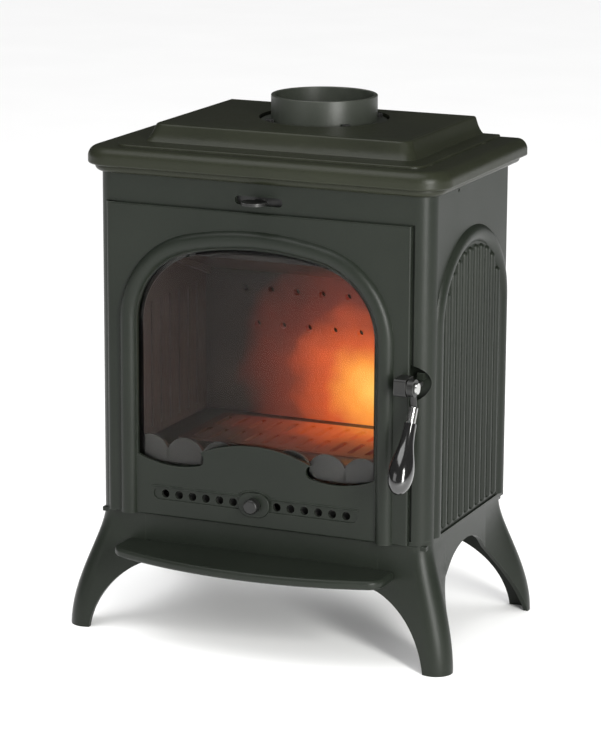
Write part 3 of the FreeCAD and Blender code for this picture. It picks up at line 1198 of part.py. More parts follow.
def glass_screws():
    """Four screws through the retainer's ears."""
    back = GLASS_BACK_Y + RETAINER_WALL
    length = back - DOOR_BACK_Y + 1.0
    return Part.makeCompound([
        bolt(vec(x, back, z), vec(0, -1, 0), length, SCREW_RADIUS, SCREW_HEAD_RADIUS, SCREW_HEAD_HEIGHT)
        for x, z in retainer_screw_points()])


def door_rope_seal():
    """Rope seal on the back of the door, pressed towards the frame's groove."""
    return rope_ring(0.0, DOOR_BACK_Y, ROPE_GROOVE_DEPTH - SLIDE_CLEARANCE)


def air_guides():
    """Two channel strips on the back of the door that hold the air slide."""
    y0 = DOOR_BACK_Y
    y1 = y0 + 2.0 * SLIDE_CLEARANCE + AIR_PLATE_WALL
    half = AIR_PLATE_HALF_LENGTH - 6.0
    edge = AIR_PLATE_HEIGHT / 2.0 + SLIDE_CLEARANCE
    x0 = DOOR_CENTRE_X - half
    x1 = DOOR_CENTRE_X + half
    strips = []
    for s in (1, -1):
        za = REGISTER_Z + s * edge
        zb = REGISTER_Z + s * (edge + 2.0)
        zc = REGISTER_Z + s * (edge - 2.5)
        wall = box(x0, x1, y0, y1, min(za, zb), max(za, zb))
        lip = box(x0, x1, y1 - 0.01, y1 + 2.0, min(zc, zb), max(zc, zb))
        strips.append(fuse([wall, lip]))
    return Part.makeCompound(strips)


def air_plate():
    """Sliding plate with holes that open or cover the air register."""
    y0 = DOOR_BACK_Y + SLIDE_CLEARANCE
    y1 = y0 + AIR_PLATE_WALL
    plate = box(
        DOOR_CENTRE_X - AIR_PLATE_HALF_LENGTH, DOOR_CENTRE_X + AIR_PLATE_HALF_LENGTH, y0, y1,
        REGISTER_Z - AIR_PLATE_HEIGHT / 2.0, REGISTER_Z + AIR_PLATE_HEIGHT / 2.0)
    stem = rod(vec(DOOR_CENTRE_X, y0 - 1.0, REGISTER_Z), vec(DOOR_CENTRE_X, y1 + 1.0, REGISTER_Z), KNOB_STEM_RADIUS)
    return cut(plate, register_holes(y0 - 1.0, y1 + 1.0) + [stem])


def air_knob():
    """Round knob and stem of the air slide."""
    back = DOOR_BACK_Y + SLIDE_CLEARANCE + AIR_PLATE_WALL
    face = DOOR_FRONT_Y - BOSS_RISE
    nose = face - KNOB_REACH
    stem = rod(vec(DOOR_CENTRE_X, face - 2.0, REGISTER_Z), vec(DOOR_CENTRE_X, back, REGISTER_Z), KNOB_STEM_RADIUS)
    head = rod(vec(DOOR_CENTRE_X, nose, REGISTER_Z), vec(DOOR_CENTRE_X, face - 0.5, REGISTER_Z), KNOB_RADIUS)
    head = round_edges(head, 3.0, lambda c, e: c.y < nose + 0.01)
    return fuse([head, stem])


# ---- latch handle ----
def handle_bracket():
    """Block on the door's edge that carries the handle's pivot."""
    x0 = DOOR_RIGHT_X - 11.0
    x1 = HANDLE_X - HANDLE_EYE_WIDTH / 2.0 - JOINT_GAP - 1.5
    front = HANDLE_PIVOT_Y - 9.0
    half = 12.0
    block = box(x0, x1, front, DOOR_FRONT_Y, HANDLE_PIVOT_Z - half, HANDLE_PIVOT_Z + half)
    block = round_edges(block, 4.0, lambda c, e: c.y < front + 0.01 and abs(e.tangentAt(e.FirstParameter).x) > 0.9)
    spacer = rod(
        vec(x1 - 1.0, HANDLE_PIVOT_Y, HANDLE_PIVOT_Z), vec(x1 + 1.5, HANDLE_PIVOT_Y, HANDLE_PIVOT_Z),
        HANDLE_PIVOT_RADIUS + 4.0)
    return fuse([block, spacer]).cut(handle_axis(x0 + 2.0, x1 + 3.0, HANDLE_PIVOT_RADIUS))


def handle_axis(x0, x1, radius):
    """Bar along the handle's pivot line."""
    return rod(vec(x0, HANDLE_PIVOT_Y, HANDLE_PIVOT_Z), vec(x1, HANDLE_PIVOT_Y, HANDLE_PIVOT_Z), radius)


def bracket_rods(y0, y1):
    """Two round bars at the handle bracket's screws."""
    x = DOOR_RIGHT_X - BRACKET_SCREW_EDGE
    levels = (HANDLE_PIVOT_Z + BRACKET_SCREW_OFFSET, HANDLE_PIVOT_Z - BRACKET_SCREW_OFFSET)
    return [rod(vec(x, y0, z), vec(x, y1, z), SCREW_RADIUS) for z in levels]


def bracket_screws_space():
    """Two threaded holes in the door behind the handle bracket."""
    return bracket_rods(DOOR_FRONT_Y - 1.0, DOOR_BACK_Y + 1.0)


def bracket_screws():
    """Two screws from the back of the door into the handle bracket."""
    return Part.makeCompound(bracket_rods(DOOR_FRONT_Y, DOOR_BACK_Y))


def handle_pivot():
    """Pivot pin of the handle, pressed in the bracket, with its collar outside the lever."""
    x0 = DOOR_RIGHT_X - 9.0
    x1 = HANDLE_X + HANDLE_EYE_WIDTH / 2.0 + JOINT_GAP
    pin = handle_axis(x0, x1 + 1.0, HANDLE_PIVOT_RADIUS)
    collar = handle_axis(x1, x1 + 3.5, HANDLE_PIVOT_RADIUS + 3.5)
    return fuse([pin, collar])


def grip_point(along):
    """Centre of the handle at a distance below the neck."""
    tilt = math.radians(GRIP_TILT_DEG)
    start = vec(HANDLE_X, HANDLE_PIVOT_Y + 6.0, HANDLE_PIVOT_Z - 26.0)
    return start + vec(0, -math.sin(tilt), -math.cos(tilt)) * along


def handle_lever():
    """Cast lever: eye, neck to the ferrule, and the latch tongue."""
    x0 = HANDLE_X - HANDLE_EYE_WIDTH / 2.0
    x1 = HANDLE_X + HANDLE_EYE_WIDTH / 2.0
    eye = handle_axis(x0, x1, HANDLE_EYE_RADIUS)
    centre = vec(HANDLE_X, HANDLE_PIVOT_Y, HANDLE_PIVOT_Z)
    neck = rod(centre, grip_point(0.0), HANDLE_NECK_RADIUS)
    knee = Part.makeSphere(HANDLE_NECK_RADIUS, grip_point(0.0))
    shank = rod(grip_point(0.0), grip_point(FERRULE_START), HANDLE_NECK_RADIUS)
    half = TONGUE_THICKNESS / 2.0
    tongue = box(
        x0 + 1.0, x1 - 1.0, HANDLE_PIVOT_Y, HANDLE_PIVOT_Y + TONGUE_LENGTH,
        HANDLE_PIVOT_Z - half, HANDLE_PIVOT_Z + half)
    beyond = rod(grip_point(FERRULE_START), grip_point(FERRULE_START + FERRULE_LENGTH), FERRULE_RADIUS)
    bore = handle_axis(x0 - 1, x1 + 1, HANDLE_PIVOT_RADIUS + RUNNING_FIT)
    return cut(fuse([eye, neck, knee, shank, tongue]), [beyond, bore])


def handle_ferrule():
    """Plated ferrule between the lever and the grip."""
    body = rod(grip_point(FERRULE_START), grip_point(FERRULE_START + FERRULE_LENGTH), FERRULE_RADIUS)
    return body.makeFillet(1.2, [e for e in body.Edges if e.Length > 5 and e.Curve.TypeId == "Part::GeomCircle"])


def handle_grip():
    """Turned grip, thin at the ferrule and full near its rounded end."""
    start = FERRULE_START + FERRULE_LENGTH
    neck = vec(GRIP_TOP_RADIUS, 0, 0)
    waist = vec(GRIP_TOP_RADIUS * 1.25, 0, GRIP_LENGTH * 0.32)
    swell = vec(GRIP_END_RADIUS, 0, GRIP_LENGTH * 0.80)
    tip = vec(0, 0, GRIP_LENGTH)
    side = Part.BSplineCurve()
    side.interpolate([neck, waist, swell, tip], InitialTangent=vec(0.02, 0, 1), FinalTangent=vec(-1, 0, 0))
    outline = Part.Wire([side.toShape(), segment(tip, vec(0, 0, 0)), segment(vec(0, 0, 0), neck)])
    solid = Part.Face(outline).revolve(vec(0, 0, 0), vec(0, 0, 1), 360)
    direction = grip_point(1.0) - grip_point(0.0)
    solid.Placement = FreeCAD.Placement(grip_point(start), FreeCAD.Rotation(vec(0, 0, 1), direction))
    return solid


def keeper_block():
    """Small catch block cast for the latch pocket, above the tongue."""
    z0 = HANDLE_PIVOT_Z + TONGUE_THICKNESS / 2.0 + 2.0
    return box(HANDLE_X - 6.0, HANDLE_X + 4.0, 7.0, POCKET_DEPTH, z0, z0 + 9.0)


# ---- air-wash damper ----
def airwash_shutter():
    """Sliding shutter behind the slot above the door, in one piece with its tab."""
    y0 = FRAME_WALL + SLIDE_CLEARANCE
    half = AIRWASH_TONGUE / 2.0
    plate = box(
        AIRWASH_X - AIRWASH_HALF_LENGTH - 8.0, AIRWASH_X + AIRWASH_HALF_LENGTH + 8.0, y0, y0 + 3.0,
        AIRWASH_Z - 10.0, AIRWASH_Z + 10.0)
    plate = plate.cut(box(AIRWASH_X - half, AIRWASH_X + half, y0 - 1, y0 + 4, AIRWASH_Z - 2, AIRWASH_Z + 2))
    return plate


def airwash_lever():
    """Flat tab with a round dished end, which moves the shutter."""
    wall = AIRWASH_TAB_WALL / 2.0
    half = AIRWASH_TONGUE / 2.0
    tongue = box(
        AIRWASH_X - half, AIRWASH_X + half, AIRWASH_TAB_Y, FRAME_WALL + SLIDE_CLEARANCE + 3.0,
        AIRWASH_Z - wall, AIRWASH_Z + wall)
    centre = vec(AIRWASH_X, AIRWASH_TAB_Y, AIRWASH_Z - wall)
    disc = rod(centre, centre + vec(0, 0, 2.0 * wall), AIRWASH_TAB_RADIUS)
    disc = disc.cut(box(-400, 400, -1.0, 100, 0, 900))
    dish = Part.makeSphere(60.0, centre + vec(0, 0, 2.0 * wall + 60.0 - 1.6))
    return fuse([disc, tongue]).cut(dish.common(rod(centre, centre + vec(0, 0, 40), AIRWASH_TAB_RADIUS - 3.0)))


def airwash_guides():
    """Two angle strips behind the front casting that hold the shutter."""
    reach = AIRWASH_HALF_LENGTH + 8.0 + AIRWASH_TRAVEL
    y0 = FRAME_WALL
    y1 = y0 + 3.0 + 2.0 * SLIDE_CLEARANCE
    strips = []
    for s in (1, -1):
        za = AIRWASH_Z + s * (10.0 + SLIDE_CLEARANCE)
        zb = za + s * 3.0
        zc = AIRWASH_Z + s * 8.0
        wall = box(AIRWASH_X - reach, AIRWASH_X + reach, y0, y1, min(za, zb), max(za, zb))
        lip = box(AIRWASH_X - reach, AIRWASH_X + reach, y1 - 0.01, y1 + 2.0, min(zc, zb), max(zc, zb))
        strips.append(fuse([wall, lip]))
    return Part.makeCompound(strips)


# ---- the whole stove ----
def build():
    """Every sub-part by name, in the drawing frame."""
    right_leg = leg()
    left_leg = mirror_x(right_leg)
    right_panel = side_panel()
    right_liner = side_liner()
    return {
        "base_casting": base_casting(),
        "leg_front_right": right_leg,
        "leg_front_left": left_leg,
        "leg_rear_right": mirror_depth(right_leg),
        "leg_rear_left": mirror_depth(left_leg),
        "leg_bolts": leg_bolts(),
        "front_frame": front_frame(),
        "side_panel_right": right_panel,
        "side_panel_left": mirror_x(right_panel),
        "rear_panel": rear_panel(),
        "tie_rods": tie_rods(),
        "top_casting": top_casting(),
        "cover_plate": cover_plate(),
        "flue_collar": flue_collar(),
        "collar_bolts": collar_bolts(),
        "hearth_plate": hearth_plate(),
        "grate": grate(),
        "liner_right": right_liner,
        "liner_left": mirror_x(right_liner),
        "fireback": fireback(),
        "baffle": baffle(),
        "log_retainer": log_retainer(),
        "ash_box": ash_box(),
        "ash_shelf": ash_shelf(),
        "shelf_brackets": shelf_brackets(),
        "hinge_pins": hinge_pins(),
        "keeper_block": keeper_block(),
        "airwash_guides": airwash_guides(),
        "door_casting": door_casting(),
        "door_glass": door_glass(),
        "glass_gasket": glass_gasket(),
        "glass_retainer": glass_retainer(),
        "glass_screws": glass_screws(),
        "door_rope_seal": door_rope_seal(),
        "air_guides": air_guides(),
        "handle_bracket": handle_bracket(),
        "bracket_screws": bracket_screws(),
        "handle_pivot": handle_pivot(),
        "handle_lever": handle_lever(),
        "handle_ferrule": handle_ferrule(),
        "handle_grip": handle_grip(),
        "air_plate": air_plate(),
        "air_knob": air_knob(),
        "airwash_shutter": airwash_shutter(),
        "airwash_lever": airwash_lever(),
        "ash_pan": ash_pan(),
        "ash_pan_handle": ash_pan_handle(),
    }


def main():
    """Write one STEP file per sub-part."""
    os.makedirs("parts", exist_ok=True)
    for name, shape in build().items():
        shape.translate(vec(0, Y_SHIFT, 0))
        shape.exportStep(os.path.join("parts", name + ".step"))
        print(name, len(shape.Solids), "solids", "valid" if shape.isValid() else "INVALID", round(shape.Volume))


main()
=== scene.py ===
import logging
import math
from dataclasses import dataclass
from enum import Enum

import bpy
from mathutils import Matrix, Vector


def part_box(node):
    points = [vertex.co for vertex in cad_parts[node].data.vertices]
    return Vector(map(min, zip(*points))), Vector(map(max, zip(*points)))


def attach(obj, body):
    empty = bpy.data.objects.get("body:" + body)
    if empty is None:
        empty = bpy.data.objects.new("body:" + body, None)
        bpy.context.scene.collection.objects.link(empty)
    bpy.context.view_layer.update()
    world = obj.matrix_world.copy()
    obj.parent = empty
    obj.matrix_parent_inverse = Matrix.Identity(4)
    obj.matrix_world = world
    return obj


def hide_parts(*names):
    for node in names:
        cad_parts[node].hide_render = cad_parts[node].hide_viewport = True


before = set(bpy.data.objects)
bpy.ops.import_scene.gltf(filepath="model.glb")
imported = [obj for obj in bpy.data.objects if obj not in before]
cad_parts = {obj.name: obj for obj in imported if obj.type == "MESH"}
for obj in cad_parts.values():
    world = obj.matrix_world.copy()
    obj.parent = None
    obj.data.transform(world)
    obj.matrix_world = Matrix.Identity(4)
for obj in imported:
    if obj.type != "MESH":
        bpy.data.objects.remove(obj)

LOG = logging.getLogger("wood_stove")
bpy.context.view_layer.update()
FIRE_X = 0.069
FIRE_Z = 0.318
SWELL_SCALE = 28.0
PIT_SHARE = 0.35
PIT_REACH = 0.22
PIT_DEPTH = 0.8
PIT_PATCH_SCALE = 60.0
EDGE_RADIUS = 0.0016
FLECK_SCALE = 420.0
FLECK_SHARE = 0.3
GLOW_WANDER = 0.35
GLOW_STOPS = (
    (0.0, (1.0, 0.55, 0.10, 1.0)), (0.16, (1.0, 0.34, 0.04, 1.0)), (0.36, (0.62, 0.085, 0.010, 1.0)),
    (0.62, (0.13, 0.012, 0.003, 1.0)), (1.0, (0.0, 0.0, 0.0, 1.0)))
LAMP_RADIUS = 0.03
WELD_REACH = 0.00001
SOFT_EDGE = 0.0008
SMOOTH_ANGLE = math.radians(35.0)
Colour = tuple[float, float, float, float]


def rgb(red: float, green: float, blue: float) -> Colour:
    """Opaque colour from three linear values."""
    return (red, green, blue, 1.0)


def node_box(name: str) -> tuple[Vector, Vector]:
    """Lowest and highest corner of a CAD node as vectors."""
    low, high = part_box(name)
    return Vector(low), Vector(high)


class Look(Enum):
    """The finishes that a piece can wear."""

    CASTING = "painted_casting"
    TOP = "painted_top"
    FLUE = "flue_paint"
    LINING = "lining"
    HEARTH = "hearth_iron"
    RETAINER = "retainer_iron"
    FITTINGS = "black_fittings"
    PLATED = "plated_steel"
    SHEET = "sheet_steel"
    GRIP = "gloss_grip"
    ROPE = "rope_fibre"
    GLASS = "ceramic_glass"


# ---------------------------------------------------------------- node graphs


class Graph:
    """Places and joins nodes in one node tree."""

    def __init__(self, tree: bpy.types.NodeTree) -> None:
        """Wrap a tree.

        Args:
            tree: the shader tree or group tree that is filled.
        """
        self.tree = tree

    def add(self, kind: str, **settings: object) -> bpy.types.Node:
        """Add a node.

        Args:
            kind: the node's type name.
            settings: properties that are set on it.

        Returns:
            The new node.
        """
        node = self.tree.nodes.new(kind)
        for name, value in settings.items():
            setattr(node, name, value)
        return node

    def join(self, source: bpy.types.NodeSocket, target: bpy.types.NodeSocket) -> None:
        """Link an output to an input."""
        self.tree.links.new(source, target)

    def math(self, operation: str, a: object, b: object = 0.0, clamp: bool = False) -> bpy.types.NodeSocket:
        """Add a Math node.

        Args:
            operation: its operation.
            a: first value or socket.
            b: second value or socket.
            clamp: whether the result stays between 0 and 1.

        Returns:
            The result's socket.
        """
        node = self.add("ShaderNodeMath", operation=operation, use_clamp=clamp)
        for index, value in enumerate((a, b)):
            self.feed(value, node.inputs[index])
        return node.outputs[0]

    def feed(self, value: object, socket: bpy.types.NodeSocket) -> None:
        """Link a socket, or set a plain value."""
        if isinstance(value, bpy.types.NodeSocket):
            self.join(value, socket)
        else:
            socket.default_value = value

    def remap(self, value: bpy.types.NodeSocket, low: float, high: float, to_low: float = 0.0,
              to_high: float = 1.0) -> bpy.types.NodeSocket:
        """Stretch a range of values to another, clamped.

        Args:
            value: the socket that is read.
            low: value that becomes to_low.
            high: value that becomes to_high.
            to_low: lowest result.
            to_high: highest result.

        Returns:
            The result's socket.
        """
        node = self.add("ShaderNodeMapRange", clamp=True)
        self.join(value, node.inputs["Value"])
        for name, number in (("From Min", low), ("From Max", high), ("To Min", to_low), ("To Max", to_high)):
            node.inputs[name].default_value = number
        return node.outputs["Result"]

    def mix(self, share: object, a: object, b: object) -> bpy.types.NodeSocket:
        """Mix two colours.

        Args:
            share: socket or number, 0 gives a and 1 gives b.
            a: first colour or socket.
            b: second colour or socket.

        Returns:
            The mixed colour's socket.
        """
        node = self.add("ShaderNodeMix", data_type="RGBA")
        self.feed(share, node.inputs[0])
        self.feed(a, node.inputs[6])
        self.feed(b, node.inputs[7])
        return node.outputs[2]

    def noise(self, vector: bpy.types.NodeSocket, scale: object, detail: float = 4.0,
              roughness: float = 0.5) -> bpy.types.NodeSocket:
        """Add fractal noise.

        Args:
            vector: the coordinates.
            scale: its scale, a number or a socket.
            detail: its octaves.
            roughness: how strong the fine octaves are.

        Returns:
            The noise value's socket.
        """
        node = self.add("ShaderNodeTexNoise", noise_dimensions="3D")
        self.join(vector, node.inputs["Vector"])
        self.feed(scale, node.inputs["Scale"])
        node.inputs["Detail"].default_value = detail
        node.inputs["Roughness"].default_value = roughness
        return node.outputs["Fac"]


class GroupMaker:
    """Builds the shader groups that several finishes share, each once."""

    def __init__(self) -> None:
        """Start with no group built."""
        self.made: dict[str, bpy.types.NodeTree] = {}

    def start(self, name: str, inputs: list[tuple[str, str, object]],
              outputs: list[tuple[str, str]]) -> tuple[Graph, bpy.types.Node, bpy.types.Node]:
        """Make an empty group with its sockets.

        Args:
            name: the group's name.
            inputs: name, socket type and default of each input.
            outputs: name and socket type of each output.

        Returns:
            The group's graph, its input node and its output node.
        """
        tree = bpy.data.node_groups.new(name, "ShaderNodeTree")
        for label, kind, value in inputs:
            socket = tree.interface.new_socket(name=label, in_out="INPUT", socket_type=kind)
            socket.default_value = value
        for label, kind in outputs:
            tree.interface.new_socket(name=label, in_out="OUTPUT", socket_type=kind)
        self.made[name] = tree
        graph = Graph(tree)
        return graph, graph.add("NodeGroupInput"), graph.add("NodeGroupOutput")

    def cast_grain(self) -> bpy.types.NodeTree:
        """Sand-cast grain under paint: fine pebbling, low swells and a few pits.

        Returns:
            The group, with a Height output.
        """
        if "cast_grain" in self.made:
            return self.made["cast_grain"]
        graph, inside, outside = self.start(
            "cast_grain", [("Scale", "NodeSocketFloat", 900.0), ("Swell", "NodeSocketFloat", 0.4)],
            [("Height", "NodeSocketFloat")])
        place = graph.add("ShaderNodeTexCoord").outputs["Object"]
        fine = graph.noise(place, inside.outputs["Scale"], 3.0, 0.6)
        swell = graph.noise(place, SWELL_SCALE, 2.0)
        cells = graph.add("ShaderNodeTexVoronoi", feature="F1")
        graph.join(place, cells.inputs["Vector"])
        graph.join(graph.math("MULTIPLY", inside.outputs["Scale"], PIT_SHARE), cells.inputs["Scale"])
        pits = graph.remap(cells.outputs["Distance"], 0.0, PIT_REACH, 1.0, 0.0)
        where = graph.remap(graph.noise(place, PIT_PATCH_SCALE, 2.0), 0.58, 0.66)
        pits = graph.math("MULTIPLY", pits, where)
        height = graph.math("ADD", fine, graph.math("MULTIPLY", swell, inside.outputs["Swell"]))
        height = graph.math("SUBTRACT", height, graph.math("MULTIPLY", pits, PIT_DEPTH))
        graph.join(height, outside.inputs["Height"])
        return self.made["cast_grain"]

    def edge_wear(self) -> bpy.types.NodeTree:
        """Mask of proud edges where the finish is rubbed thin.

        Returns:
            The group, with a Mask output.
        """
        if "edge_wear" in self.made:
            return self.made["edge_wear"]
        graph, inside, outside = self.start(
            "edge_wear", [("Amount", "NodeSocketFloat", 0.5), ("Scale", "NodeSocketFloat", 70.0)],
            [("Mask", "NodeSocketFloat")])
        place = graph.add("ShaderNodeTexCoord").outputs["Object"]
        rounded = graph.add("ShaderNodeBevel", samples=4)
        rounded.inputs["Radius"].default_value = EDGE_RADIUS
        turned = graph.add("ShaderNodeVectorMath", operation="DOT_PRODUCT")
        graph.join(rounded.outputs["Normal"], turned.inputs[0])
        graph.join(graph.add("ShaderNodeNewGeometry").outputs["Normal"], turned.inputs[1])
        proud = graph.remap(turned.outputs["Value"], 0.995, 0.93)
        broken = graph.remap(graph.noise(place, inside.outputs["Scale"], 5.0, 0.65), 0.40, 0.62)
        mask = graph.math("MULTIPLY", graph.math("MULTIPLY", proud, broken), inside.outputs["Amount"], True)
        graph.join(mask, outside.inputs["Mask"])
        return self.made["edge_wear"]

    def mottle(self) -> bpy.types.NodeTree:
        """Slow change of tone over a painted or scorched surface.

        Returns:
            The group, with Color and Tone outputs.
        """
        if "mottle" in self.made:
            return self.made["mottle"]
        graph, inside, outside = self.start(
            "mottle",
            [("Deep", "NodeSocketColor", rgb(0.03, 0.03, 0.03)),
             ("Pale", "NodeSocketColor", rgb(0.06, 0.06, 0.06)), ("Scale", "NodeSocketFloat", 9.0)],
            [("Color", "NodeSocketColor"), ("Tone", "NodeSocketFloat")])
        place = graph.add("ShaderNodeTexCoord").outputs["Object"]
        broad = graph.noise(place, inside.outputs["Scale"], 4.0, 0.55)
        fleck = graph.math("MULTIPLY", graph.noise(place, FLECK_SCALE, 2.0, 0.5), FLECK_SHARE)
        tone = graph.math("ADD", graph.math("MULTIPLY", broad, 1.0 - FLECK_SHARE), fleck)
        tone = graph.remap(tone, 0.34, 0.66)
        graph.join(graph.mix(tone, inside.outputs["Deep"], inside.outputs["Pale"]), outside.inputs["Color"])
        graph.join(tone, outside.inputs["Tone"])
        return self.made["mottle"]

    def fire_glow(self) -> bpy.types.NodeTree:
        """Light of the fire on the lining, strongest around one place.

        Returns:
            The group, with a Color output that fades to black.
        """
        if "fire_glow" in self.made:
            return self.made["fire_glow"]
        graph, inside, outside = self.start(
            "fire_glow",
            [("Place", "NodeSocketVector", (0.0, 0.0, 0.0)), ("Reach", "NodeSocketFloat", 0.2)],
            [("Color", "NodeSocketColor")])
        place = graph.add("ShaderNodeTexCoord").outputs["Object"]
        away = graph.add("ShaderNodeVectorMath", operation="DISTANCE")
        graph.join(place, away.inputs[0])
        graph.join(inside.outputs["Place"], away.inputs[1])
        share = graph.math("DIVIDE", away.outputs["Value"], inside.outputs["Reach"])
        wander = graph.math("SUBTRACT", graph.noise(place, 16.0, 3.0), 0.5)
        wander = graph.math("MULTIPLY", wander, GLOW_WANDER)
        ramp = graph.add("ShaderNodeValToRGB")
        graph.join(graph.math("ADD", share, wander, True), ramp.inputs["Fac"])
        stops = ramp.color_ramp.elements
        stops[0].color = GLOW_STOPS[0][1]
        stops[1].color = GLOW_STOPS[-1][1]
        for position, colour in GLOW_STOPS[1:-1]:
            stops.new(position).color = colour
        graph.join(ramp.outputs["Color"], outside.inputs["Color"])
        return self.made["fire_glow"]


GROUPS = GroupMaker()


# ---------------------------------------------------------------- finishes


@dataclass(frozen=True)
class Finish:
    """A procedural finish: tone, grain, worn edges, gloss and, near the fire, glow."""

    look: Look
    deep: Colour
    pale: Colour
    rough: float
    rough_spread: float = 0.12
    grain: float = 900.0
    swell: float = 0.4
    relief: float = 0.25
    relief_depth: float = 0.0004
    wear: float = 0.0
    worn: Colour = (0.25, 0.25, 0.24, 1.0)
    metal: float = 0.0
    specular: float = 0.5
    coat: float = 0.0
    mottle_scale: float = 5.0
    glow_place: tuple[float, float, float] | None = None
    glow_reach: float = 0.2
    glow_strength: float = 1.0

    def group(self, graph: Graph, tree: bpy.types.NodeTree, **values: object) -> bpy.types.Node:
        """Place a shared group with this finish's own values."""
        node = graph.add("ShaderNodeGroup", node_tree=tree)
        for name, value in values.items():
            node.inputs[name].default_value = value
        return node

    def build(self) -> bpy.types.Material:
        """Make the material.

        Returns:
            A material named after the finish.
        """
        material = bpy.data.materials.new(self.look.value)
        material.use_nodes = True
        graph = Graph(material.node_tree)
        shader = material.node_tree.nodes["Principled BSDF"]
        shader.inputs["Metallic"].default_value = self.metal
        shader.inputs["Specular IOR Level"].default_value = self.specular
        shader.inputs["Coat Weight"].default_value = self.coat
        shader.inputs["Coat Roughness"].default_value = 0.08
        tone = self.group(graph, GROUPS.mottle(), Deep=self.deep, Pale=self.pale, Scale=self.mottle_scale)
        grain = self.group(graph, GROUPS.cast_grain(), Scale=self.grain, Swell=self.swell)
        colour = tone.outputs["Color"]
        rough = graph.remap(tone.outputs["Tone"], 0.0, 1.0, self.rough - self.rough_spread / 2.0,
                            self.rough + self.rough_spread / 2.0)
        if self.wear:
            wear = self.group(graph, GROUPS.edge_wear(), Amount=self.wear)
            colour = graph.mix(wear.outputs["Mask"], colour, self.worn)
            rough = graph.math("SUBTRACT", rough, graph.math("MULTIPLY", wear.outputs["Mask"], 0.15), True)
        graph.join(colour, shader.inputs["Base Color"])
        graph.join(rough, shader.inputs["Roughness"])
        bump = graph.add("ShaderNodeBump")
        bump.inputs["Strength"].default_value = self.relief
        bump.inputs["Distance"].default_value = self.relief_depth
        graph.join(grain.outputs["Height"], bump.inputs["Height"])
        graph.join(bump.outputs["Normal"], shader.inputs["Normal"])
        if self.glow_place is not None:
            glow = self.group(graph, GROUPS.fire_glow(), Place=self.glow_place, Reach=self.glow_reach)
            graph.join(glow.outputs["Color"], shader.inputs["Emission Color"])
            shader.inputs["Emission Strength"].default_value = self.glow_strength
        return material


@dataclass(frozen=True)
class GlassFinish:
    """Clear ceramic window with a light film of soot in patches."""

    look: Look = Look.GLASS

    def build(self) -> bpy.types.Material:
        """Make the material.

        Returns:
            The glass material.
        """
        material = bpy.data.materials.new(self.look.value)
        material.use_nodes = True
        graph = Graph(material.node_tree)
        shader = material.node_tree.nodes["Principled BSDF"]
        shader.inputs["Transmission Weight"].default_value = 1.0
        shader.inputs["IOR"].default_value = 1.16
        place = graph.add("ShaderNodeTexCoord").outputs["Object"]
        film = graph.remap(graph.noise(place, 7.0, 5.0, 0.6), 0.42, 0.75)
        graph.join(graph.mix(film, rgb(0.93, 0.92, 0.91), rgb(0.80, 0.78, 0.76)), shader.inputs["Base Color"])
        graph.join(graph.remap(film, 0.0, 1.0, 0.0, 0.02), shader.inputs["Roughness"])
        return material


class Palette:
    """Every finish of the stove, built once."""

    def __init__(self, heart: Vector) -> None:
        """Build the materials.

        Args:
            heart: the place in the firebox where the fire is brightest.
        """
        hot = tuple(heart)
        finishes = [
            Finish(Look.CASTING, rgb(0.0085, 0.0108, 0.0080), rgb(0.013, 0.016, 0.012), 0.36,
                   specular=0.20, wear=0.20,
                   worn=rgb(0.08, 0.09, 0.075), relief=0.32, relief_depth=0.0005),
            Finish(Look.TOP, rgb(0.011, 0.0125, 0.0075), rgb(0.017, 0.019, 0.011), 0.36,
                   specular=0.20, wear=0.22,
                   worn=rgb(0.11, 0.12, 0.09), relief=0.34, relief_depth=0.0005),
            Finish(Look.FLUE, rgb(0.020, 0.023, 0.018), rgb(0.030, 0.034, 0.027), 0.38,
                   specular=0.4, relief=0.22,
                   wear=0.25, worn=rgb(0.13, 0.13, 0.11)),
            Finish(Look.LINING, rgb(0.012, 0.010, 0.010), rgb(0.034, 0.029, 0.027), 0.66, relief=0.3,
                   mottle_scale=14.0, glow_place=hot, glow_reach=0.21, glow_strength=1.1),
            Finish(Look.HEARTH, rgb(0.035, 0.020, 0.015), rgb(0.085, 0.048, 0.034), 0.55, relief=0.4,
                   mottle_scale=16.0, glow_place=hot, glow_reach=0.22, glow_strength=0.8),
            Finish(Look.RETAINER, rgb(0.018, 0.019, 0.018), rgb(0.030, 0.031, 0.029), 0.50,
                   relief=0.4, wear=0.3),
            Finish(Look.FITTINGS, rgb(0.012, 0.012, 0.012), rgb(0.022, 0.022, 0.021), 0.36, relief=0.12,
                   wear=0.4, worn=rgb(0.20, 0.20, 0.19), metal=0.4),
            Finish(Look.PLATED, rgb(0.50, 0.50, 0.49), rgb(0.66, 0.66, 0.64), 0.26, relief=0.06, metal=1.0),
            Finish(Look.SHEET, rgb(0.12, 0.12, 0.115), rgb(0.20, 0.20, 0.19), 0.42, relief=0.12, metal=0.9,
                   wear=0.4, worn=rgb(0.4, 0.4, 0.39)),
            Finish(Look.GRIP, rgb(0.006, 0.006, 0.006), rgb(0.010, 0.010, 0.010), 0.16, 0.05, relief=0.03,
                   coat=1.0, grain=300.0),
            Finish(Look.ROPE, rgb(0.05, 0.048, 0.044), rgb(0.10, 0.096, 0.088), 0.92, relief=0.7,
                   grain=1600.0, relief_depth=0.0008),
        ]
        self.materials = {finish.look: finish.build() for finish in finishes}
        self.materials[Look.GLASS] = GlassFinish().build()

    def __getitem__(self, look: Look) -> bpy.types.Material:
        """Material of a look."""
        return self.materials[look]


# ---------------------------------------------------------------- the stove


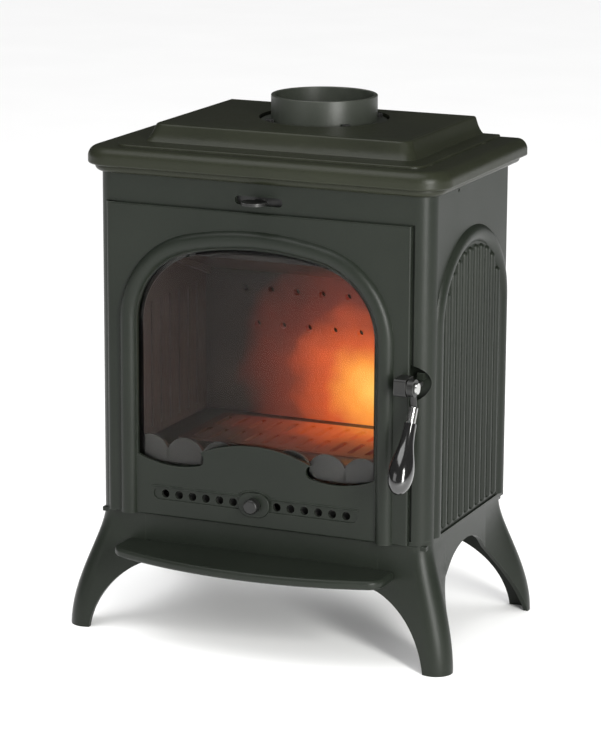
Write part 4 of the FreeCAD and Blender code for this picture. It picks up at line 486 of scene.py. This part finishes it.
@dataclass(frozen=True)
class Dressing:
    """Which CAD nodes wear which finish, and how their faces are smoothed."""

    look: Look
    nodes: tuple[str, ...]
    crease: float = 30.0

    def apply(self, palette: Palette) -> None:
        """Give each node its finish and even shading.

        Args:
            palette: the built finishes.
        """
        for name in self.nodes:
            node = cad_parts[name]
            node.data.materials.clear()
            node.data.materials.append(palette[self.look])
            weld = node.modifiers.new("weld", "WELD")
            weld.merge_threshold = WELD_REACH
            split = node.modifiers.new("creases", "EDGE_SPLIT")
            split.use_edge_sharp = False
            split.split_angle = math.radians(self.crease)
            even = node.modifiers.new("even_normals", "WEIGHTED_NORMAL")
            even.keep_sharp = True


DRESSINGS = (
    Dressing(Look.CASTING, (
        "base_casting", "leg_front_right", "leg_front_left", "leg_rear_right", "leg_rear_left", "front_frame",
        "side_panel_right", "side_panel_left", "rear_panel", "door_casting", "keeper_block", "ash_shelf",
        "hearth_plate")),
    Dressing(Look.TOP, ("top_casting", "cover_plate")),
    Dressing(Look.FLUE, ("flue_collar",)),
    Dressing(Look.LINING, ("liner_right", "liner_left", "fireback", "baffle")),
    Dressing(Look.HEARTH, ("grate",)),
    Dressing(Look.RETAINER, ("log_retainer",)),
    Dressing(Look.FITTINGS, (
        "leg_bolts", "hinge_pins", "glass_retainer", "handle_bracket", "bracket_screws", "handle_lever",
        "air_plate", "airwash_shutter", "airwash_guides", "air_guides", "collar_bolts", "air_knob",
        "airwash_lever")),
    Dressing(Look.PLATED, ("tie_rods", "glass_screws", "handle_pivot", "handle_ferrule")),
    Dressing(Look.SHEET, ("ash_box", "ash_pan", "ash_pan_handle", "shelf_brackets")),
    Dressing(Look.GRIP, ("handle_grip",)),
    Dressing(Look.ROPE, ("door_rope_seal", "glass_gasket")),
    Dressing(Look.GLASS, ("door_glass",)),
)


# ---------------------------------------------------------------- studio


@dataclass(frozen=True)
class Softbox:
    """A rectangular studio light."""

    name: str
    place: tuple[float, float, float]
    aim: tuple[float, float, float]
    width: float
    height: float
    power: float
    colour: tuple[float, float, float] = (1.0, 1.0, 1.0)

    def build(self) -> None:
        """Add the light, facing its aim."""
        bpy.ops.object.light_add(type="AREA", location=self.place)
        light = bpy.context.object
        light.name = self.name
        light.data.shape = "RECTANGLE"
        light.data.size = self.width
        light.data.size_y = self.height
        light.data.energy = self.power
        light.data.color = self.colour
        facing = (Vector(self.aim) - Vector(self.place)).to_track_quat("-Z", "Y")
        light.rotation_euler = facing.to_euler()


@dataclass(frozen=True)
class Studio:
    """Pale floor, even surround and the lights of a product picture."""

    floor_size: float = 80.0
    backdrop: float = 1.15
    ambient: float = 1.06
    mirrored: float = 0.05
    lights: tuple[Softbox, ...] = (
        Softbox("overhead_softbox", (-0.5, -0.7, 2.9), (0.0, 0.0, 0.4), 2.4, 2.0, 46.0),
        Softbox("column_strip", (2.3, -1.9, 1.15), (0.2, -0.1, 0.45), 0.5, 1.9, 120.0, (1.0, 1.0, 0.97)),
        Softbox("front_fill", (-1.6, -3.2, 1.3), (0.0, 0.0, 0.35), 1.8, 1.4, 12.0),
    )

    def surround(self) -> None:
        """White behind the stove for the camera, dimmer as a light."""
        world = bpy.data.worlds.new("studio_surround")
        world.use_nodes = True
        bpy.context.scene.world = world
        graph = Graph(world.node_tree)
        backdrop = world.node_tree.nodes["Background"]
        rays = graph.add("ShaderNodeLightPath")
        seen = graph.math("MULTIPLY", rays.outputs["Is Camera Ray"], self.backdrop - self.ambient)
        mirrored = graph.math("MULTIPLY", rays.outputs["Is Glossy Ray"], self.mirrored - self.ambient)
        strength = graph.math("ADD", graph.math("ADD", seen, mirrored), self.ambient)
        graph.join(strength, backdrop.inputs["Strength"])
        backdrop.inputs["Color"].default_value = rgb(1.0, 1.0, 1.0)

    def floor(self) -> None:
        """Plain pale floor."""
        bpy.ops.mesh.primitive_plane_add(size=self.floor_size, location=(0.0, 0.0, 0.0))
        plane = bpy.context.object
        plane.name = "studio_floor"
        material = bpy.data.materials.new("pale_floor")
        material.use_nodes = True
        graph = Graph(material.node_tree)
        shader = material.node_tree.nodes["Principled BSDF"]
        place = graph.add("ShaderNodeTexCoord").outputs["Object"]
        cloud = graph.noise(place, 3.0, 3.0)
        tone = graph.mix(cloud, rgb(0.90, 0.90, 0.90), rgb(0.94, 0.94, 0.94))
        graph.join(tone, shader.inputs["Base Color"])
        shader.inputs["Roughness"].default_value = 0.9
        plane.data.materials.append(material)

    def build(self) -> None:
        """Build the studio."""
        bpy.context.scene.view_settings.view_transform = "Standard"
        self.surround()
        self.floor()
        for light in self.lights:
            light.build()


@dataclass(frozen=True)
class Firelight:
    """Warm lights inside the firebox."""

    heart: tuple[float, float, float]

    def build(self) -> None:
        """Add the glow's lamps."""
        spots = (
            ((0.02, -0.07, 0.02), 0.38, (1.0, 0.42, 0.10)),
            ((-0.11, -0.05, -0.02), 0.12, (1.0, 0.30, 0.08)),
        )
        for index, (offset, power, colour) in enumerate(spots):
            place = Vector(self.heart) + Vector(offset)
            bpy.ops.object.light_add(type="POINT", location=place)
            lamp = bpy.context.object
            lamp.name = "firelight_" + str(index + 1)
            lamp.data.energy = power
            lamp.data.color = colour
            lamp.data.shadow_soft_size = LAMP_RADIUS
            lamp.visible_camera = False
            lamp.visible_transmission = False
            lamp.visible_glossy = False


@dataclass(frozen=True)
class Viewpoint:
    """The still camera."""

    place: tuple[float, float, float] = (1.7276, -3.9465, 1.3929)
    aim: tuple[float, float, float] = (-0.02684, 0.08136, 0.34135)
    lens: float = 151.56
    roll: float = math.radians(0.29)

    def build(self) -> None:
        """Add the camera and make it the scene's own."""
        bpy.ops.object.camera_add(location=self.place)
        camera = bpy.context.object
        camera.name = "still_camera"
        facing = (Vector(self.aim) - Vector(self.place)).to_track_quat("-Z", "Y")
        camera.rotation_euler = facing.to_euler()
        camera.rotation_euler.rotate_axis("Z", self.roll)
        camera.data.lens = self.lens
        camera.data.sensor_width = 36.0
        camera.data.clip_start = 0.05
        camera.data.clip_end = 60.0
        bpy.context.scene.camera = camera


@dataclass(frozen=True)
class FuelGuard:
    """Scalloped plate that keeps the fuel behind the window, with its apron in front of the hearth."""

    lobes: int = 7
    pitch: float = 0.0535
    middle: float = -0.0102
    radius: float = 0.029
    level: float = 0.255
    front: float = -0.1110
    back: float = -0.1052
    apron_half: float = 0.186
    apron_low: float = 0.247
    apron_high: float = 0.266

    def lobe(self, index: int) -> bpy.types.Object:
        """Add one round lobe.

        Args:
            index: its number from the left.

        Returns:
            The lobe's disc.
        """
        x = self.middle + (index - (self.lobes - 1) / 2.0) * self.pitch
        bpy.ops.mesh.primitive_cylinder_add(
            vertices=96, radius=self.radius, depth=self.back - self.front,
            location=(x, (self.front + self.back) / 2.0, self.level), rotation=(math.pi / 2.0, 0.0, 0.0))
        return bpy.context.object

    def apron(self) -> bpy.types.Object:
        """Add the straight plate behind the lobes.

        Returns:
            The apron.
        """
        depth = (self.back - self.front) / 2.0
        level = (self.apron_low + self.apron_high) / 2.0
        bpy.ops.mesh.primitive_cube_add(
            size=1.0, location=(self.middle, self.back - depth / 2.0, level),
            scale=(2.0 * self.apron_half, depth, self.apron_high - self.apron_low))
        return bpy.context.object

    def trim(self) -> None:
        """Cut the joined plate off above the ash pan."""
        bpy.ops.object.mode_set(mode="EDIT")
        bpy.ops.mesh.select_all(action="SELECT")
        bpy.ops.mesh.bisect(
            plane_co=(0.0, 0.0, self.apron_low), plane_no=(0.0, 0.0, 1.0), use_fill=True, clear_inner=True)
        bpy.ops.object.mode_set(mode="OBJECT")

    def build(self, material: bpy.types.Material) -> bpy.types.Object:
        """Model the guard.

        Args:
            material: its finish.

        Returns:
            The finished piece.
        """
        parts = [self.lobe(index) for index in range(self.lobes)] + [self.apron()]
        bpy.ops.object.select_all(action="DESELECT")
        for part in parts:
            part.select_set(True)
        bpy.context.view_layer.objects.active = parts[0]
        bpy.ops.object.join()
        guard = bpy.context.object
        guard.name = "fuel_guard"
        bpy.ops.object.transform_apply(location=True, rotation=True, scale=True)
        self.trim()
        bevel = guard.modifiers.new("soft_edges", "BEVEL")
        bevel.width = SOFT_EDGE
        bevel.segments = 3
        bpy.ops.object.modifier_apply(modifier=bevel.name)
        bpy.ops.object.shade_smooth_by_angle(angle=SMOOTH_ANGLE)
        guard.data.materials.clear()
        guard.data.materials.append(material)
        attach(guard, "stove")
        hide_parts("log_retainer")
        return guard


@dataclass(frozen=True)
class Stove:
    """The whole stove: dressed CAD nodes and the pieces built here."""

    heart: Vector
    dressings: tuple[Dressing, ...] = DRESSINGS

    def build(self) -> None:
        """Dress the nodes and model the pieces that are made here."""
        palette = Palette(self.heart)
        for dressing in self.dressings:
            dressing.apply(palette)
        FuelGuard().build(palette[Look.RETAINER])


def main() -> None:
    """Build the stove and its studio."""
    logging.basicConfig(level=logging.INFO)
    heart = Vector((FIRE_X, node_box("fireback")[0].y, FIRE_Z))
    Stove(heart).build()
    Firelight(tuple(heart)).build()
    Studio().build()
    Viewpoint().build()


if __name__ == "__main__":
    main()
